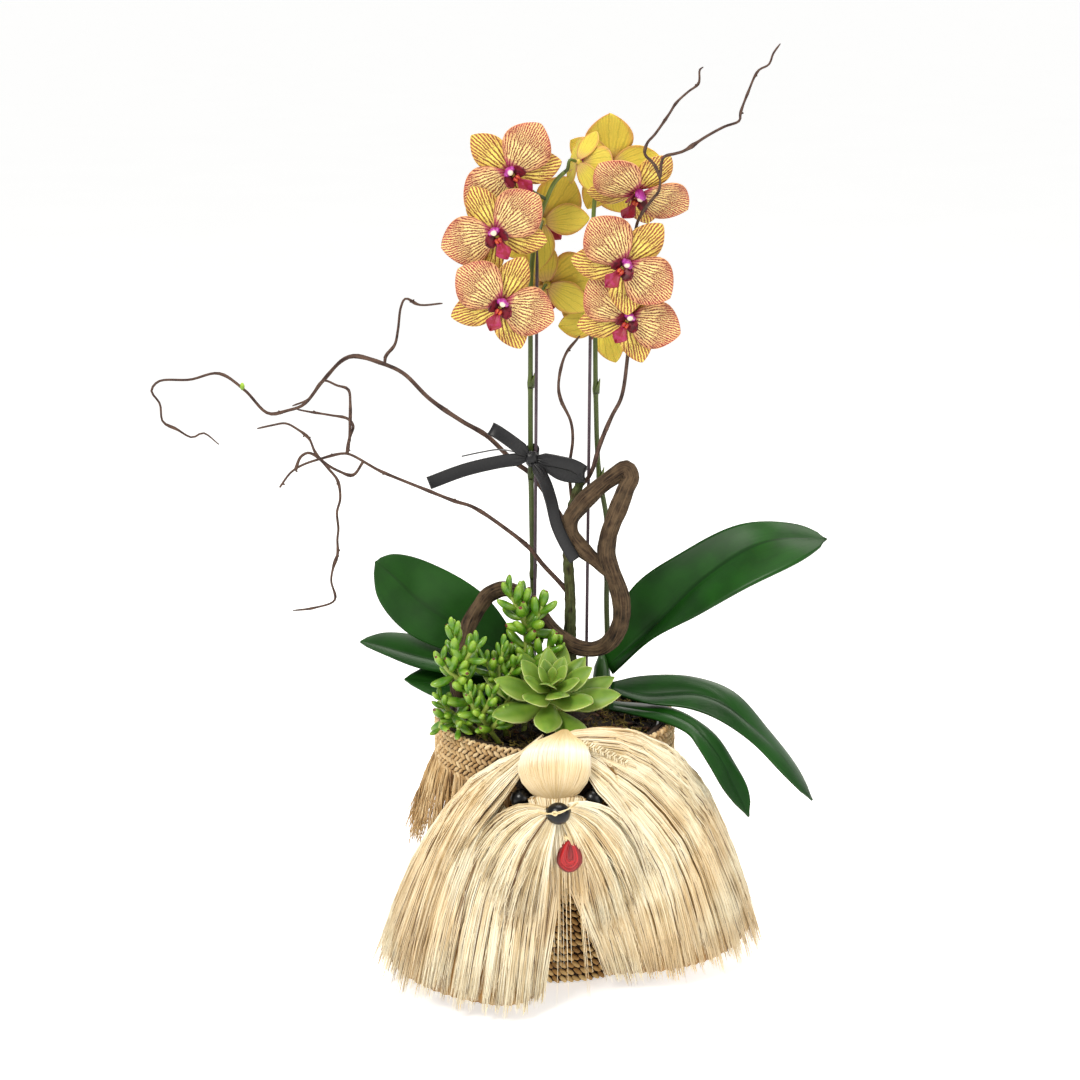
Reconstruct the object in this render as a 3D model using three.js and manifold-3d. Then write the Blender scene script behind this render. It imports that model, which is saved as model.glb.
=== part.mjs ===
// Moth orchid in basket: a woven basket dressed as a long-haired dog, planted with two moth orchids,
// stonecrop, an echeveria, a looped vine and a willow branch. Millimetres, +Z up, the face towards -Y.
// The origin is the centre of the basket's foot, on the surface it stands on.
import * as THREE from "three";
import { mergeVertices } from "three/addons/utils/BufferGeometryUtils.js";
import Module from "manifold-3d";

const wasm = await Module();
wasm.setup();

// Basket, liner and soil
const FOOT_RADIUS = 94;
const RIM_RADIUS = 104;
const BASKET_HEIGHT = 225;
const BASKET_WALL = 6;
const BASKET_FLOOR = 7;
const CORD_ROWS = 8;
const CORD_RELIEF = 2;
const ROUND_SIDES = 24;
const LINER_WALL = 2;
const LINER_TOP = 221;
const SOIL_EDGE = 214;
const SOIL_CROWN = 14;
const HOLE_DEPTH = 28;
const HOLE_SIDES = 6;
const GAP = 0.4;

// Trim and fringe round the rim
const TRIM_OUTER = 111;
const TRIM_LOW = 187;
const TRIM_HIGH = 229;
const TRIM_ROWS = 2;
const FRINGE_STRANDS = 36;
const FRINGE_LENGTH = 80;
const FRINGE_FLARE = 30;
const FRINGE_FRONT_FLARE = 9;

// Dog face
const FACE_X = 1;
const EYE_RADIUS = 9;
const EYE_SPREAD = 31;
const NOSE_RADIUS = 9.3;
const HAIR_THICKNESS = 5;
const LOCK_RELIEF = 2.4;

// Blooms
const PETAL_LENGTH = 49;
const PETAL_HALF_WIDTH = 22;
const SEPAL_LENGTH = 45;
const SEPAL_HALF_WIDTH = 15;
const PETAL_THICKNESS = 0.9;
const LIP_THICKNESS = 1.2;
const BLADE_ROOT = 3.2;
const HUB_DEPTH = 8;
const PEDICEL_RADIUS = 1.5;

// Leaves and succulents
const LEAF_THICKNESS = 2.2;
const ROSETTE_LEAVES = 18;
const ROSETTE_LENGTH = 56;
const GOLDEN_ANGLE = THREE.MathUtils.degToRad(137.508);

const point = (x, y, z) => new THREE.Vector3(x, y, z);
const radians = THREE.MathUtils.degToRad;
const lerp = THREE.MathUtils.lerp;
const curveOf = (list) => new THREE.CatmullRomCurve3(list.map((p) => point(...p)), false, "centripetal");

// A seeded draw between -1 and 1
function seeded(seed) {
  let state = seed * 2654435761 + 12345;
  return () => {
    state = (Math.imul(state ^ (state >>> 15), 2246822519) + 3266489917) >>> 0;
    return (state / 4294967296) * 2 - 1;
  };
}

// Solids: closed meshes in and out of the join and cut library
function solidOf(geometry) {
  const bare = geometry.index ? geometry.toNonIndexed() : geometry.clone();
  for (const name of Object.keys(bare.attributes)) {
    if (name !== "position") bare.deleteAttribute(name);
  }
  const merged = mergeVertices(bare, 1e-4);
  const triVerts = new Uint32Array(merged.index.array);
  const vertProperties = new Float32Array(merged.attributes.position.array);
  const build = () => new wasm.Manifold(new wasm.Mesh({ numProp: 3, vertProperties, triVerts }));
  const made = build();
  if (made.volume() > 0) return made;
  for (let i = 0; i < triVerts.length; i += 3) {
    [triVerts[i + 1], triVerts[i + 2]] = [triVerts[i + 2], triVerts[i + 1]];
  }
  return build();
}

function geometryOf(solid) {
  const mesh = solid.getMesh();
  const positions = [];
  for (let i = 0; i < mesh.vertProperties.length; i += mesh.numProp) {
    positions.push(...mesh.vertProperties.slice(i, i + 3));
  }
  const geometry = new THREE.BufferGeometry();
  geometry.setAttribute("position", new THREE.Float32BufferAttribute(positions, 3));
  geometry.setIndex([...mesh.triVerts]);
  return geometry;
}

const fused = (solids) => solids.reduce((whole, next) => whole.add(next));
const largest = (solid) => solid.decompose().sort((a, b) => b.volume() - a.volume())[0];

// The neighbour, a little larger about its own middle, is cut away from the piece
function cleared(piece, neighbour, growth = 1.015) {
  const geometry = geometryOf(neighbour);
  geometry.computeBoundingBox();
  const middle = geometry.boundingBox.getCenter(point(0, 0, 0));
  geometry.translate(-middle.x, -middle.y, -middle.z);
  geometry.scale(growth, growth, growth);
  geometry.translate(middle.x, middle.y, middle.z);
  return largest(piece.subtract(solidOf(geometry)));
}

function meshFrom(positions, indices) {
  const geometry = new THREE.BufferGeometry();
  geometry.setAttribute("position", new THREE.Float32BufferAttribute(positions, 3));
  geometry.setIndex(indices);
  return solidOf(geometry);
}

// A closed body through rings that all hold the same number of points
function loft(rings) {
  const count = rings[0].length;
  const positions = rings.flat().flatMap((p) => [p.x, p.y, p.z]);
  const indices = [];
  for (let i = 0; i + 1 < rings.length; i += 1) {
    for (let j = 0; j < count; j += 1) {
      const [a, b] = [i * count + j, i * count + ((j + 1) % count)];
      indices.push(a, b, a + count, b, b + count, a + count);
    }
  }
  const last = (rings.length - 1) * count;
  for (let j = 1; j + 1 < count; j += 1) {
    indices.push(0, j + 1, j);
    indices.push(last, last + j, last + j + 1);
  }
  return meshFrom(positions, indices);
}

// A thin body either side of a surface given by a formula of u and v, both 0 to 1
function sheet(rows, columns, surface, thickness, rowPlaces = null) {
  const place = (i) => (rowPlaces ? rowPlaces[i] : i / rows);
  const step = 0.01;
  const sides = [[], []];
  for (let i = 0; i <= rows; i += 1) {
    for (let j = 0; j <= columns; j += 1) {
      const [u, v] = [place(i), j / columns];
      const middle = surface(u, v);
      const along = surface(Math.min(u + step, 1), v).sub(surface(Math.max(u - step, 0), v));
      const across = surface(u, Math.min(v + step, 1)).sub(surface(u, Math.max(v - step, 0)));
      const normal = along.cross(across).normalize();
      const [over, under] = thickness(u, v, j);
      sides[0].push(middle.clone().addScaledVector(normal, over));
      sides[1].push(middle.clone().addScaledVector(normal, -under));
    }
  }
  const width = columns + 1;
  const offset = sides[0].length;
  const indices = [];
  for (let i = 0; i < rows; i += 1) {
    for (let j = 0; j < columns; j += 1) {
      const a = i * width + j;
      indices.push(a, a + width, a + 1, a + 1, a + width, a + width + 1);
      const b = a + offset;
      indices.push(b, b + 1, b + width, b + 1, b + width + 1, b + width);
    }
  }
  const border = [];
  for (let j = 0; j < columns; j += 1) border.push(j);
  for (let i = 0; i < rows; i += 1) border.push(i * width + columns);
  for (let j = columns; j > 0; j -= 1) border.push(rows * width + j);
  for (let i = rows; i > 0; i -= 1) border.push(i * width);
  border.forEach((a, k) => {
    const b = border[(k + 1) % border.length];
    indices.push(a, b, a + offset, b, b + offset, a + offset);
  });
  return meshFrom(sides.flat().flatMap((p) => [p.x, p.y, p.z]), indices);
}

const evenly = (thickness) => () => [thickness / 2, thickness / 2];

// Rings of a round or flattened section carried along a list of points without twisting
function carriedRings(points, section) {
  const rings = [];
  let side = null;
  points.forEach((p, i) => {
    const before = points[Math.max(i - 1, 0)];
    const after = points[Math.min(i + 1, points.length - 1)];
    const tangent = after.clone().sub(before).normalize();
    if (!side) {
      side = Math.abs(tangent.x) > 0.8 ? point(0, 1, 0) : point(1, 0, 0);
    }
    side = side.clone().addScaledVector(tangent, -side.dot(tangent)).normalize();
    const lift = tangent.clone().cross(side);
    const t = i / (points.length - 1);
    rings.push(section(t, i).map(([a, b]) => p.clone().addScaledVector(side, a).addScaledVector(lift, b)));
  });
  return rings;
}

const circle = (radius, sides) =>
  Array.from({ length: sides }, (_, k) => {
    const angle = (k / sides) * 2 * Math.PI;
    return [radius * Math.cos(angle), radius * Math.sin(angle)];
  });

// A stem whose radius is a formula of its place along the points
const stem = (points, radiusAt, sides) => {
  return loft(carriedRings(points, (t, i) => circle(radiusAt(t, i), sides)));
};
const tapered = (list, from, to, sides) => {
  return stem(list.map((p) => point(...p)), (t) => lerp(from, to, t), sides);
};

// A straight or curved rod of one thickness
function rod(list, radius, sides, steps) {
  const outline = new THREE.Shape(circle(radius, sides).map(([x, y]) => new THREE.Vector2(x, y)));
  return solidOf(new THREE.ExtrudeGeometry(outline, { steps, extrudePath: curveOf(list) }));
}

function turned(profile, sides = ROUND_SIDES) {
  const outline = profile.map(([r, z]) => new THREE.Vector2(r, z));
  return solidOf(new THREE.LatheGeometry(outline, sides).rotateX(Math.PI / 2));
}

function ball(radii, centre, across, down) {
  const geometry = new THREE.SphereGeometry(1, across, down).rotateX(Math.PI / 2);
  geometry.scale(...radii).translate(...centre);
  return solidOf(geometry);
}

// Finishes
const finish = (color, roughness) => new THREE.MeshStandardMaterial({ color, roughness });
const FINISHES = {
  twine: finish(0xb08a4c, 0.9),
  liner: finish(0x121212, 0.5),
  soil: finish(0x2c2018, 1.0),
  hair: finish(0xe2c48c, 0.5),
  bead: finish(0x0a0a0c, 0.15),
  raffia: finish(0xd9b872, 0.7),
  tongue: finish(0xb5121f, 0.5),
  leaf: finish(0x1f5a2a, 0.35),
  spike: finish(0x5d7a35, 0.5),
  stake: finish(0x3b2a30, 0.6),
  petal: finish(0xe6a24a, 0.5),
  lip: finish(0xa8173f, 0.45),
  stonecrop: finish(0x6fae25, 0.4),
  echeveria: finish(0x8dba4c, 0.5),
  vine: finish(0x6a4c33, 0.9),
  willow: finish(0x4a3a2c, 0.85),
  ribbon: finish(0x1b1b1d, 0.4),
};

const plant = new THREE.Group();

function addPart(name, shape, finishName, parent = plant) {
  const mesh = new THREE.Mesh(geometryOf(shape), FINISHES[finishName]);
  mesh.name = name;
  parent.add(mesh);
  return mesh;
}

// Basket: rows of twisted cord raised round a slightly flared wall, open at the top
const wallRadius = (z) => lerp(FOOT_RADIUS, RIM_RADIUS, z / BASKET_HEIGHT);
const innerRadius = (z) => wallRadius(z) - BASKET_WALL;

function basket() {
  const profile = [[0, 0], [FOOT_RADIUS - 4, 0]];
  const rowHeight = BASKET_HEIGHT / CORD_ROWS;
  for (let row = 0; row < CORD_ROWS; row += 1) {
    const low = row * rowHeight;
    const seam = Math.max(low, 2);
    profile.push([wallRadius(seam) - CORD_RELIEF, seam]);
    profile.push([wallRadius(low + rowHeight / 2) - GAP, low + rowHeight / 2]);
  }
  profile.push([RIM_RADIUS - CORD_RELIEF, BASKET_HEIGHT]);
  profile.push([innerRadius(BASKET_HEIGHT), BASKET_HEIGHT]);
  profile.push([innerRadius(BASKET_FLOOR), BASKET_FLOOR]);
  profile.push([0, BASKET_FLOOR]);
  return turned(profile);
}

// Liner: a plastic cup that stands on the basket's floor
function liner() {
  const low = BASKET_FLOOR + GAP;
  const outer = (z) => innerRadius(z) - GAP;
  return turned([
    [0, low],
    [outer(low), low],
    [outer(LINER_TOP), LINER_TOP],
    [outer(LINER_TOP) - LINER_WALL, LINER_TOP],
    [outer(low) - LINER_WALL, low + LINER_WALL],
    [0, low + LINER_WALL],
  ]);
}

// Soil: fills the liner in a low mound, with a plain hole for each stem
const soilTop = (x, y) => {
  const reach = Math.hypot(x, y) / innerRadius(SOIL_EDGE);
  return SOIL_EDGE + SOIL_CROWN * (1 - reach * reach) + 2 * Math.sin(x / 11) * Math.cos(y / 13);
};

function soil(holes) {
  const low = BASKET_FLOOR + 2 * GAP + LINER_WALL;
  const radius = (z) => innerRadius(z) - 2 * GAP - LINER_WALL;
  const profile = [[0, low], [radius(low), low], [radius(SOIL_EDGE), SOIL_EDGE]];
  for (const share of [0.72, 0.4]) {
    profile.push([radius(SOIL_EDGE) * share, SOIL_EDGE + SOIL_CROWN * (1 - share * share)]);
  }
  profile.push([0, SOIL_EDGE + SOIL_CROWN]);
  const geometry = new THREE.LatheGeometry(profile.map(([r, z]) => new THREE.Vector2(r, z)), ROUND_SIDES);
  geometry.rotateX(Math.PI / 2);
  const places = geometry.getAttribute("position");
  for (let i = 0; i < places.count; i += 1) {
    if (places.getZ(i) > SOIL_EDGE + 1) places.setZ(i, soilTop(places.getX(i), places.getY(i)));
  }
  let ground = solidOf(geometry);
  for (const [x, y, r] of holes) {
    const reach = (r + GAP) / Math.cos(Math.PI / HOLE_SIDES);
    const shaft = new THREE.CylinderGeometry(reach, reach, 2 * HOLE_DEPTH, HOLE_SIDES).rotateX(Math.PI / 2);
    ground = ground.subtract(solidOf(shaft.translate(x, y, soilTop(x, y))));
  }
  return ground;
}

const holes = [];
// Where a stem enters the soil, and how far down its hole it reaches
function rooted(x, y, radius) {
  holes.push([x, y, radius]);
  return [x, y, soilTop(x, y) - HOLE_DEPTH + GAP];
}

// Trim: a woven band with a twine fringe that flares less under the dog's hair
function trim() {
  const inner = RIM_RADIUS + GAP;
  const rowHeight = (TRIM_HIGH - TRIM_LOW) / TRIM_ROWS;
  const strandThickness = 2.4;
  const longStrand = 1;
  const shortStrand = 0.84;
  const sections = Array.from({ length: FRINGE_STRANDS }, (_, k) => {
    const angle = (k / FRINGE_STRANDS) * 2 * Math.PI;
    const flare = lerp(FRINGE_FLARE, FRINGE_FRONT_FLARE, Math.max(0, Math.cos(angle)));
    const reach = k % 2 === 0 ? longStrand : shortStrand;
    const tip = TRIM_OUTER + flare * reach;
    const tipHeight = TRIM_LOW - FRINGE_LENGTH * reach;
    const outline = [
      [inner, TRIM_HIGH],
      [inner, TRIM_LOW],
      [tip - strandThickness, tipHeight],
      [tip, tipHeight],
      [TRIM_OUTER - CORD_RELIEF, TRIM_LOW],
    ];
    for (let row = 0; row < TRIM_ROWS; row += 1) {
      const low = TRIM_LOW + row * rowHeight;
      outline.push([TRIM_OUTER, low + rowHeight / 2], [TRIM_OUTER - CORD_RELIEF, low + rowHeight]);
    }
    return outline.map(([radius, z]) => point(radius * Math.sin(angle), -radius * Math.cos(angle), z));
  });
  return ringOf(sections);
}

// A ring closed on itself through sections that all hold the same number of points
function ringOf(sections) {
  const count = sections[0].length;
  const positions = sections.flat().flatMap((p) => [p.x, p.y, p.z]);
  const indices = [];
  sections.forEach((_, i) => {
    const next = (i + 1) % sections.length;
    for (let j = 0; j < count; j += 1) {
      const k = (j + 1) % count;
      const [a, b, c, d] = [i * count + j, i * count + k, next * count + j, next * count + k];
      indices.push(a, b, c, b, d, c);
    }
  });
  return meshFrom(positions, indices);
}

// Dog face: a woven core with bead eyes and nose, raffia tongue and string, and a gathered forelock
const FORELOCK_TOP = [8, -116, 249];
const FORELOCK_TIE = [0, -160, 199];
const FORELOCK_HALF_WIDTH = 31;
const FORELOCK_HALF_DEPTH = 17;
const FORELOCK_BOW = 15;
const FORELOCK_SHIFT = 4.5;

function forelock() {
  const [top, tie] = [point(...FORELOCK_TOP), point(...FORELOCK_TIE)];
  const axis = tie.clone().sub(top);
  const outward = point(1, 0, 0).cross(axis).normalize();
  const places = [0, 0.1, 0.28, 0.5, 0.72, 0.9, 1];
  const swell = [0.2, 0.42, 0.8, 1, 0.92, 0.6, 0.16];
  const sides = 16;
  const rings = places.map((t, i) => {
    const bend = Math.sin(Math.PI * t);
    const middle = top.clone().addScaledVector(axis, t).addScaledVector(outward, -FORELOCK_BOW * bend);
    middle.x -= FORELOCK_SHIFT * bend;
    return Array.from({ length: sides }, (_, k) => {
      const angle = (k / sides) * 2 * Math.PI;
      const ridge = 1 + (k % 2 === 0 ? 0.03 : -0.03);
      const across = FORELOCK_HALF_WIDTH * swell[i] * ridge * Math.cos(angle);
      const depth = FORELOCK_HALF_DEPTH * swell[i] * ridge * Math.sin(angle);
      return middle.clone().addScaledVector(point(1, 0, 0), across).addScaledVector(outward, depth);
    });
  });
  return loft(rings);
}

const FACE = {
  core: { centre: [FACE_X, -128, 205], radii: [36, 19, 36] },
  muzzle: { centre: [FACE_X + 1, -146, 186], radii: [19, 18, 17] },
  eyeY: -151,
  eyeZ: 199,
  nose: [2, -176, 195],
  tongue: [12, -169, 156],
};

function headCore(bun) {
  const reach = TRIM_OUTER + 2;
  const rim = new THREE.CylinderGeometry(reach, reach, 3 * BASKET_HEIGHT, ROUND_SIDES).rotateX(Math.PI / 2);
  const skull = ball(FACE.core.radii, FACE.core.centre, 11, 7);
  const muzzle = ball(FACE.muzzle.radii, FACE.muzzle.centre, 9, 6);
  return cleared(fused([skull, muzzle]).subtract(solidOf(rim)), bun, 1.03);
}

function tongue() {
  const [x, y, z] = FACE.tongue;
  const loops = [-7, 0, 7].map((shift) => {
    return ball([6.5, 4, 15 - 0.3 * Math.abs(shift)], [x + shift, y, z], 6, 4);
  });
  return fused(loops);
}

// A fall of hair: a ridged sheet through key locks, each a curve from root to tip
function hairFall(keyLocks, from, to, locks, rows, seed) {
  const random = seeded(seed);
  const jitter = Array.from({ length: 2 * locks + 1 }, random);
  const curves = keyLocks.map(curveOf);
  const surface = (u, v) => {
    const across = new THREE.CatmullRomCurve3(curves.map((c) => c.getPoint(u)), false, "centripetal");
    return across.getPoint(lerp(from, to, v));
  };
  const ends = (j) => (j % 2 === 1 ? 1 : 0.95 - 0.02 * jitter[j]);
  const columns = 2 * locks;
  const shaped = (u, v) => surface(u * ends(Math.round(v * columns)), v);
  return sheet(rows, columns, shaped, (u, v, j) => {
    const ridge = (j % 2 === 1 ? LOCK_RELIEF : -0.6) * Math.min(1, 0.3 + u);
    return [HAIR_THICKNESS / 2, HAIR_THICKNESS / 2 + ridge];
  });
}

const RIGHT_LOCKS = [
  [
    [22, -107, 247], [50, -106, 249], [86, -88, 234], [122, -62, 198], [148, -42, 147], [168, -28, 94],
    [195, -12, 5],
  ],
  [
    [42, -117, 239], [66, -112, 232], [95, -101, 208], [126, -84, 172], [150, -68, 122], [170, -56, 70],
    [188, -48, 5],
  ],
  [
    [52, -134, 216], [70, -130, 202], [92, -120, 176], [113, -108, 144], [131, -98, 100], [145, -90, 52],
    [157, -82, 5],
  ],
  [
    [38, -150, 183], [52, -147, 168], [66, -140, 146], [79, -132, 118], [90, -122, 82], [99, -114, 42],
    [106, -108, 5],
  ],
  [
    [11, -161, 178], [13, -158, 150], [11, -153, 120], [20, -141, 92], [30, -129, 62], [40, -118, 33],
    [48, -109, 5],
  ],
];
const LEFT_LOCKS = [
  [
    [-16, -107, 246], [-40, -118, 228], [-68, -118, 205], [-92, -112, 178], [-113, -100, 145],
    [-131, -88, 108], [-166, -58, 5],
  ],
  [
    [-40, -121, 236], [-60, -124, 218], [-82, -124, 192], [-104, -120, 156], [-124, -113, 112],
    [-143, -106, 60], [-158, -98, 5],
  ],
  [
    [-52, -136, 214], [-66, -142, 196], [-82, -145, 168], [-97, -146, 134], [-110, -144, 94],
    [-121, -142, 50], [-129, -139, 5],
  ],
  [
    [-37, -152, 183], [-47, -160, 164], [-57, -166, 138], [-66, -169, 108], [-73, -170, 74],
    [-79, -169, 38], [-84, -166, 5],
  ],
  [
    [-16, -163, 178], [-22, -170, 152], [-26, -174, 125], [-29, -177, 96], [-32, -178, 66],
    [-35, -178, 36], [-38, -177, 5],
  ],
  [
    [-3, -161, 178], [1, -160, 150], [3, -158, 122], [-1, -157, 94], [-5, -156, 64], [-9, -155, 36],
    [-12, -153, 5],
  ],
];

function addFace() {
  const bun = forelock();
  addPart("forelock", bun, "hair");
  const core = headCore(bun);
  addPart("head_core", core, "twine");
  for (const [name, side] of [["eye_left", -1], ["eye_right", 1]]) {
    const centre = [FACE_X + side * EYE_SPREAD, FACE.eyeY, FACE.eyeZ];
    addPart(name, ball([EYE_RADIUS, EYE_RADIUS, EYE_RADIUS], centre, 8, 6), "bead");
  }
  addPart("nose", ball([NOSE_RADIUS + 1, NOSE_RADIUS, NOSE_RADIUS], FACE.nose, 8, 6), "bead");
  const [x, y, z] = FACE.nose;
  const bends = [[-17, 7, -5], [-9, -7, -3], [0, -10.6, 0], [9, -7, 3], [17, 6, 6]];
  const string = bends.map(([across, depth, rise]) => [x + across, y + depth, z + rise]);
  addPart("nose_string", rod(string, 0.9, 4, 7), "raffia");
  addPart("tongue", tongue(), "tongue");
  const falls = [
    ["hair_right", RIGHT_LOCKS, 0, 0.5, 5, 3],
    ["moustache_right", RIGHT_LOCKS, 0.512, 1, 5, 5],
    ["hair_left", LEFT_LOCKS, 0, 0.4, 5, 7],
    ["moustache_left", LEFT_LOCKS, 0.41, 1, 7, 9],
  ];
  for (const [name, keys, from, to, locks, seed] of falls) {
    const fall = cleared(hairFall(keys, from, to, locks, 5, seed), bun, 1.03);
    addPart(name, cleared(fall, core, 1.03), "hair");
  }
}

// Leaves: strap blades folded along the midrib, between two edges drawn by hand
function leafBlade([middle, upper, lower], rows = 6) {
  const [mid, high, low] = [middle, upper, lower].map(curveOf);
  return sheet(rows, 4, (u, v) => {
    const centre = mid.getPoint(u);
    const share = Math.abs(2 * v - 1);
    const edge = (v < 0.5 ? high : low).getPoint(u);
    const swell = 2.5 * Math.sin(Math.PI * share) * Math.sin(Math.PI * u);
    return centre.lerp(edge, share).add(point(0, 0, swell));
  }, evenly(LEAF_THICKNESS));
}

const LEFT_LEAVES = [
  [
    [[-30, 20, 270], [-78, 14, 299], [-125, 6, 334], [-143, -4, 355], [-162, -15, 375]],
    [[-26, 24, 276], [-65, 30, 331], [-116, 24, 364], [-146, 8, 376], [-163, -13, 376]],
    [[-34, 16, 264], [-87, 2, 282], [-134, -6, 305], [-160, -12, 339], [-164, -16, 373]],
  ],
  [
    [[-34, 16, 258], [-87, 6, 270], [-125, -2, 281], [-155, -10, 292], [-177, -16, 300]],
    [[-34, 24, 261], [-88, 32, 284], [-127, 24, 294], [-156, 8, 301], [-177, -14, 301]],
    [[-34, 10, 255], [-82, -12, 267], [-124, -24, 278], [-154, -26, 291], [-177, -18, 299]],
  ],
  [
    [[-34, 12, 247], [-78, 0, 253], [-105, -10, 259], [-137, -22, 266]],
    [[-34, 18, 250], [-78, 20, 264], [-110, 8, 271], [-137, -20, 267]],
    [[-34, 6, 245], [-68, -14, 246], [-104, -28, 250], [-137, -24, 265]],
  ],
];
const RIGHT_LEAVES = [
  [
    [[50, 20, 266], [89, 14, 303], [137, 4, 356], [188, -8, 391], [244, -20, 397]],
    [[46, 24, 272], [70, 24, 338], [117, 20, 375], [171, 10, 404], [219, -2, 406], [245, -18, 398]],
    [[54, 14, 260], [88, -8, 300], [128, -24, 327], [171, -36, 356], [222, -34, 382], [245, -22, 396]],
  ],
  [
    [
      [52, 12, 247], [84, 4, 242], [132, -8, 247], [156, -22, 241], [181, -32, 222], [207, -42, 198],
      [234, -51, 160],
    ],
    [
      [52, 18, 250], [81, 22, 255], [126, 14, 257], [165, 2, 246], [197, -10, 213], [222, -26, 183],
      [235, -48, 160],
    ],
    [
      [52, 7, 244], [84, -14, 241], [123, -28, 240], [149, -40, 233], [178, -52, 216], [208, -58, 186],
      [233, -54, 160],
    ],
  ],
  [
    [
      [50, 2, 233], [81, -10, 232], [105, -28, 234], [124, -44, 229], [134, -56, 222], [147, -68, 207],
      [159, -78, 184], [173, -90, 159],
    ],
    [
      [50, 8, 235], [82, 6, 233], [106, -8, 234], [127, -28, 230], [146, -44, 219], [162, -56, 197],
      [173, -70, 178], [175, -88, 160],
    ],
    [
      [50, -4, 231], [80, -24, 231], [102, -44, 231], [119, -60, 227], [127, -73, 220], [138, -82, 204],
      [151, -91, 184], [171, -92, 160],
    ],
  ],
];
const CROWNS = { left: [-24, 20, 9], right: [44, 22, 9] };
const CROWN_TOP = 277;

function addOrchidPlant(side, leaves) {
  const [x, y, radius] = CROWNS[side];
  const foot = rooted(x, y, radius);
  const places = [foot, [x, y, 235], [x, y, 262], [x, y, CROWN_TOP]].map((p) => point(...p));
  const crown = stem(places, (t, i) => [radius, radius, radius - 1, 3][i], 8);
  addPart(`crown_${side}`, crown, "leaf");
  leaves.forEach((blade, i) => {
    addPart(`leaf_${side}_${i + 1}`, cleared(leafBlade(blade), crown, 1.06), "leaf");
  });
}

// Blooms: three sepals behind two broad petals round a hub, with a column, and a three-lobed lip
const sepalShape = (u) => Math.sin(Math.PI * (0.03 + 0.92 * u)) ** 0.75;
const petalShape = (u) => Math.sin(Math.PI * (0.04 + 0.93 * u) ** 1.15) ** 0.7;

function bloomBlade({ length, halfWidth, shape, angle, lift, cup, droop, columns, places }) {
  const direction = point(Math.cos(angle), Math.sin(angle), 0);
  const side = point(-Math.sin(angle), Math.cos(angle), 0);
  const surface = (u, v) => {
    const reach = lerp(BLADE_ROOT, length, u);
    const edge = (2 * v - 1) ** 2;
    const fold = 1.6 * edge * Math.sin(Math.PI * u);
    const rise = cup * (8 * Math.sin((Math.PI / 2) * u) + 0.55 * reach);
    const middle = direction.clone().multiplyScalar(reach * Math.cos(0.9 * cup * u));
    const across = (2 * v - 1) * halfWidth * shape(u);
    return middle.addScaledVector(side, across).add(point(0, 0, lift + rise - droop * u * u - fold));
  };
  return sheet(places.length - 1, columns, surface, evenly(PETAL_THICKNESS), places);
}

function bloomPetals(cup, random) {
  const sepals = [90, -40, 220].map((degrees) =>
    bloomBlade({
      length: SEPAL_LENGTH + random(),
      halfWidth: SEPAL_HALF_WIDTH,
      shape: sepalShape,
      angle: radians(degrees + 3 * random()),
      lift: -4.2,
      cup,
      droop: 2.5,
      columns: 2,
      places: [0, 0.3, 0.72, 1],
    }),
  );
  const petals = [10, 170].map((degrees) =>
    bloomBlade({
      length: PETAL_LENGTH + random(),
      halfWidth: PETAL_HALF_WIDTH,
      shape: petalShape,
      angle: radians(degrees + 3 * random()),
      lift: 0,
      cup,
      droop: 2,
      columns: 2,
      places: [0, 0.32, 0.74, 1],
    }),
  );
  const hubRings = [[1.6, -HUB_DEPTH], [4.4, -5.4], [4.4, 0.9]];
  const hub = loft(hubRings.map(([r, z]) => circle(r, 5).map(([x, y]) => point(x, y, z))));
  const columnRings = [[2.6, 0.5, 1.9], [3, 5, 2], [2, 9, 1]];
  const column = loft(columnRings.map(([r, z, y]) => circle(r, 5).map(([a, b]) => point(a, b + y, z))));
  return fused([hub, column, ...sepals, ...petals]);
}

// Lip: a trough whose sides rise beside the column and whose front spreads into a pointed lobe
function bloomLip() {
  const places = [0, 0.3, 0.68, 1];
  const halfWidths = [5.6, 4, 7.5, 0.8];
  const sideRises = [8, 3, 1, 0];
  return sheet(3, 4, (u, v) => {
    const k = Math.min(2, places.findLastIndex((place) => place <= u));
    const share = (u - places[k]) / (places[k + 1] - places[k]);
    const side = 2 * v - 1;
    const across = side * lerp(halfWidths[k], halfWidths[k + 1], share);
    const rise = side * side * lerp(sideRises[k], sideRises[k + 1], share);
    return point(across, -3 - 20 * u, 2 + 6 * Math.sin(2.2 * u) + rise);
  }, evenly(LIP_THICKNESS), places);
}

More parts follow.
